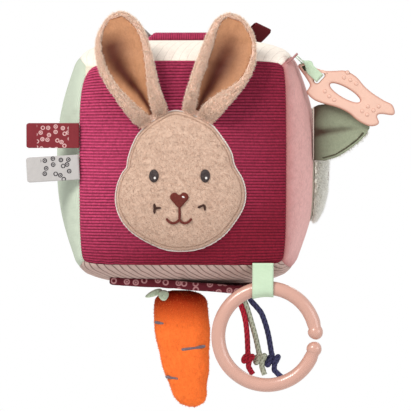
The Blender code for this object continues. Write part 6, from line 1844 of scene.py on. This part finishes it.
def makeRingRibbon():
    # Down from the seam, under the bar with its curve, and back up: each height is shared between bar and seam
    across = ringRibbon["middle"] + ringRibbon["width"] * np.linspace(-0.5, 0.5, ringRibbon["columns"])
    barUp = ring["middle"][1] + np.sqrt(ring["radius"] ** 2 - (across - ring["middle"][0]) ** 2)
    middleUp = barUp[ringRibbon["columns"] // 2]
    around = ring["tube"] + ringRibbon["clearance"] + ringRibbon["thick"] / 2
    shares = np.linspace(0.04, 1.0, 26)
    grids = []
    for shift in (-0.5, 0.5):
        radius = around + shift * ringRibbon["thick"]
        fold = ringRibbon["fold"] + shift * ringRibbon["thick"]
        rows = [np.stack((across, np.full_like(across, ring["back"] + radius * math.cos(turn)),
                          barUp + radius * math.sin(turn)), axis=-1) for turn in np.linspace(0.0, -math.pi, 29)]
        for side in (-1, 1):
            for share in shares[::-side]:
                apart = radius + (fold - radius) * float(eased(share))
                up = barUp * (1 - share) + ringRibbon["root"] * share
                up = up + (shift + 0.5) * ringRibbon["thick"] * (share == 1)
                wave = 0.0003 * np.sin(share * 7.0 + (across - across[0]) * 260.0) * share * (1 - share) * 4
                rows.append(np.stack((across, ring["back"] + side * apart + wave, up), axis=-1))
        grids.append(np.array(rows))
    points, faces = loopShell(*grids)
    makePiece("ringRibbonLoop", points, faces, "mintRibbon", "ring_ribbon", ["ring_ribbon"],
              loopMeasure(grids[0][:, 0], across))
    return middleUp


makeRing()
makeRingRibbon()
print("ring made")


# Pocket of printed cotton with its rolled hem

def makePocket():
    rows = np.linspace(pocketForm["left"], pocketForm["right"], 70)
    columns = np.linspace(pocketForm["front"], pocketForm["rear"], 60)
    across, back = np.meshgrid(rows, columns, indexing="ij")
    inward = np.minimum(np.minimum(across - rows[0], rows[-1] - across), columns[-1] - back)
    creases = ripple(np.stack((across, back * 0.6), axis=-1), 0.016, 71) * 0.0003 * eased(inward / 0.006)
    high = np.stack((across, back, pocketTop(across, back) - np.maximum(creases, -0.0002) * 0.3), axis=-1)
    edge = 0.45 + 0.55 * np.sqrt(1 - (1 - np.clip(inward / 0.0014, 0.0, 1.0)) ** 2)
    low = high - np.stack((0 * across, 0 * across, pocketForm["thickness"] * edge + creases), axis=-1)
    points, faces = sheetShell(high, low)
    measure = np.column_stack((points[:, 0], points[:, 1], np.zeros(len(points))))
    pocket = makePiece("pocketCotton", points, faces, "printedCotton", "block",
                       ["bottom_pocket"], measure)

    count = 120
    lineX = np.linspace(pocketForm["left"] - 0.0004, pocketForm["right"] + 0.0004, count)
    lineY = np.full(count, pocketForm["front"] - block["gap"] - pocketForm["hemDepth"] / 2)
    lineZ = pocketTop(lineX, lineY) + pocketForm["mouth"] - pocketForm["hemHeight"] / 2
    lineZ = lineZ + np.sin(np.linspace(0.0, 19.0, count)) * 0.00018
    ends = 1 - np.abs(np.linspace(-1.0, 1.0, count)) ** 60 * 0.45
    rings = tubeRings(np.column_stack((lineX, lineY, lineZ)), ends * pocketForm["hemHeight"] / 2, 24,
                      (pocketForm["hemDepth"] / pocketForm["hemHeight"], 1.0))
    points, faces = tubeShell(rings)
    measure = np.column_stack((points[:, 0], points[:, 2], np.zeros(len(points))))
    hem = makePiece("pocketHem", points, faces, "printedCotton", "block", ["pocket_hem"], measure)


# Carrot: settled like a small cushion, with stitched dashes, felt leaves and a tape

carrot = {
    "length": 0.0716, "width": 0.0352, "depth": 0.0190, "across": -0.0026, "back": -0.0250, "drop": 0.0008,
    "bend": 0.0066, "bendPower": 2.2, "tetherWidth": 0.0080, "tetherThick": 0.0008, "tetherGap": 0.0007,
    "shares": ((0.0, 0.30), (0.02, 0.60), (0.05, 0.80), (0.08, 0.89), (0.147, 0.96), (0.22, 0.99), (0.35, 1.0),
               (0.42, 0.98), (0.49, 0.94), (0.56, 0.91), (0.63, 0.885), (0.70, 0.84), (0.767, 0.756),
               (0.836, 0.672), (0.905, 0.588), (0.95, 0.48), (0.975, 0.37), (0.99, 0.24), (1.0, 0.08)),
    "strands": 7000,
    # Dashes: share of the length, then where each starts and ends as a share of the half width
    "dashes": ((0.270, -0.98, -0.55, -0.20), (0.500, -0.10, 0.84, 0.30), (0.740, -0.97, -0.30, -0.12)),
    "dashSize": (0.0019, 0.0010), "dashPitch": 0.0012, "dashSunk": 0.0004, "topShade": 0.38,
    "leafLengths": (0.0112, 0.0066), "leafWidths": (0.0046, 0.0078), "leafThick": 0.0012, "leafTaper": 0.35,
    "leafForward": 0.0062, "leafRoots": (-0.0142, -0.0134), "leafDrop": -0.0008, "leafTurns": (203.0, 274.0),
}


def carrotCorners():
    # The lowest place of the pocket's underside over the tape, and the carrot's top under it
    under = min(float(pocketTop(np.array(carrot["across"] + side * carrot["tetherWidth"] / 2),
                                np.array(carrot["back"] + depth * carrot["tetherThick"] / 2)))
                for side in (-1, 0, 1) for depth in (-1, 1)) - pocketForm["thickness"]
    return under, under - carrot["drop"]


def makeCarrot():
    under, top = carrotCorners()
    shares = np.array([share for share, _ in carrot["shares"]])
    widths = np.array([width for _, width in carrot["shares"]])
    fine = np.concatenate((np.linspace(0.0, 0.1, 12)[:-1], np.linspace(0.1, 0.88, 50)[:-1],
                           np.linspace(0.88, 1.0, 18)))
    width = np.interp(fine, shares, widths)
    kernel = np.array((0.25, 0.5, 0.25))
    width[1:-1] = np.convolve(width, kernel, "valid")
    turn = np.linspace(0.0, 2 * math.pi, 72, endpoint=False)
    line = np.column_stack((carrot["across"] + carrot["bend"] * fine ** carrot["bendPower"],
                            np.full(len(fine), carrot["back"]), top - carrot["length"] * fine))
    rings = line[:, None] + np.stack((width[:, None] * carrot["width"] / 2 * np.cos(turn),
                                      width[:, None] * carrot["depth"] / 2 * np.sin(turn),
                                      np.zeros((len(fine), len(turn)))), axis=-1)
    coarse = rings[::3, ::3]
    held = np.concatenate((np.arange(24), np.arange(24) + (len(coarse) - 1) * 24))
    moved = settle(coarse * (0.985, 0.97, 1.0) + line.mean(axis=0) * (0.015, 0.03, 0.0), 3.0, 0.02, 0.0009, held,
                   wrap=True)
    moved = resample(moved, 72, 1, closed=True)
    moved = resample(moved, 0, 0, places=np.arange(len(fine)) / 3.0)
    normals = gridNormals(rings, True)
    normals *= np.sign(((rings - line[:, None]) * normals).sum(axis=-1, keepdims=True) + 1e-12)
    lumps = ripple(rings, 0.012, 81) * 0.00035 + ripple(rings, 0.0035, 82) * 0.00008
    for share, start, end, slope in carrot["dashes"]:
        reach = (rings[..., 0] - line[:, None, 0]) / (width[:, None] * carrot["width"] / 2 + 1e-6)
        height = fine[:, None] - share + (reach - start) * slope * 0.1
        inside = eased((reach - start) / 0.15) * eased((end - reach) / 0.15) * (np.sin(turn)[None] < 0.1)
        lumps = lumps - 0.0008 * np.exp(-(height / 0.018) ** 2) * inside
    rings = rings + moved + normals * lumps[..., None]
    points, faces = tubeShell(rings)
    # Painted shade, darkest at the top under the pocket and fading down the carrot
    shade = 1.0 - eased((top - points[:, 2]) / carrot["length"] / carrot["topShade"])
    makePiece("carrotVelour", points, faces, "carrot", "carrot", ["carrot_body"],
              np.column_stack((points[:, 0], points[:, 2], shade)))
    closed = np.concatenate((rings, rings[:, :1]), axis=1)
    facing = np.concatenate((normals, normals[:, :1]), axis=1)
    roots, facing = scatter(closed, facing, carrot["strands"], 83)
    strands("carrotPile", roots, facing, {"seed": 84, "lean": (0.0, 0.0, -0.6), "spread": 0.5, "length": 0.0008,
                                          "width": 0.00009, "droop": (0.0, 0.0, -0.2)}, "carrotStrand",
            "carrot")

    def surface(across, up):
        share = np.clip((top - up) / carrot["length"], 0.0, 1.0)
        half = np.interp(share, fine, width)
        reach = (across - carrot["across"] - carrot["bend"] * share ** carrot["bendPower"]) / (
            half * carrot["width"] / 2)
        return -carrot["back"] + half * carrot["depth"] / 2 * np.sqrt(np.clip(1 - reach ** 2, 0.02, 1.0))
    for number, (share, start, end, slope) in enumerate(carrot["dashes"]):
        steps = np.linspace(start, end, 6)
        down = share - (steps - start) * slope * 0.1
        middle = carrot["across"] + carrot["bend"] * down ** carrot["bendPower"]
        half = np.interp(down, fine, width) * carrot["width"] / 2
        places = np.column_stack((middle + steps * half * 0.985, top - carrot["length"] * down))
        stitchLine(f"carrotDash{number + 1}", places, *carrot["dashSize"], frontFace, surface, "dashThread",
                   "thread_dark", "carrot", pitch=carrot["dashPitch"], lift=-carrot["dashSunk"])

    corners = np.linspace(0.0, 2 * math.pi, 24, endpoint=False)
    flat = np.column_stack((np.sign(np.cos(corners)) * np.abs(np.cos(corners)) ** 0.25 * carrot["tetherWidth"] / 2,
                            np.sign(np.sin(corners)) * np.abs(np.sin(corners)) ** 0.25 * carrot["tetherThick"] / 2))
    levels = np.linspace(under - carrot["tetherGap"], top - 0.0012, 5)
    tab = np.array([np.column_stack((flat + (carrot["across"], carrot["back"]), np.full(24, up))) for up in levels])
    points, faces = tubeShell(tab)
    makePiece("carrotTape", points, faces, "mintRibbon", "carrot", ["carrot_tether"],
              np.column_stack((points[:, 0], points[:, 2], 0 * points[:, 0])))

    # Leaves: half a turn of a cosine out and back, tapered, with a raised middle and a pressed edge
    steps = np.linspace(0.0, 2 * math.pi, 60, endpoint=False)
    for name, node, degrees, lift in (("carrotLeftLeaf", "carrot_left_leaf", carrot["leafTurns"][0], 0),
                                      ("carrotRightLeaf", "carrot_right_leaf", carrot["leafTurns"][1], 1)):
        angle = math.radians(degrees)
        along = np.array((math.cos(angle), math.sin(angle)))
        side = np.array((-along[1], along[0]))
        length = carrot["leafLengths"][lift]
        reach = (1 - np.cos(steps)) / 2 * length
        wide = np.sin(steps) * carrot["leafWidths"][lift] / 2 * (1 - carrot["leafTaper"] * (1 - np.cos(steps)) / 2)
        root = np.array((carrot["leafRoots"][lift], top - carrot["leafDrop"]))
        outline = root + reach[:, None] * along + wide[:, None] * side
        middle = root + 0.5 * length * along
        forward = -carrot["back"] + carrot["leafForward"] + lift * (carrot["leafThick"] + block["gap"])
        curl = (lambda one, two, start=forward, root=root, along=along, length=length:
                start + 0.0010 * (((one - root[0]) * along[0] + (two - root[1]) * along[1]) / length) ** 2)
        points, faces, measure, _ = domeShell(frontFace, outline, middle, curl,
                                              roundedProfile(12, carrot["leafThick"], edgePower=5.0))
        measure[:, 2] = 0.0
        makePiece(name, points, faces, "leaf", "carrot", [node], measure)


makePocket()
makeCarrot()
print("pocket and carrot made")


# Hidden CAD nodes keep their shape and get their own finish

for nodeName, finishName in (("core_front_half", "foam"), ("core_rear_half", "foam"),
                             ("rattle_front_shell", "rattleShell"), ("rattle_rear_shell", "rattleShell"),
                             ("rattle_bead_1", "bead"), ("rattle_bead_2", "bead"), ("rattle_bead_3", "bead")):
    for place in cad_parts[nodeName].material_slots:
        place.material = finishes[finishName]

bpy.context.view_layer.update()
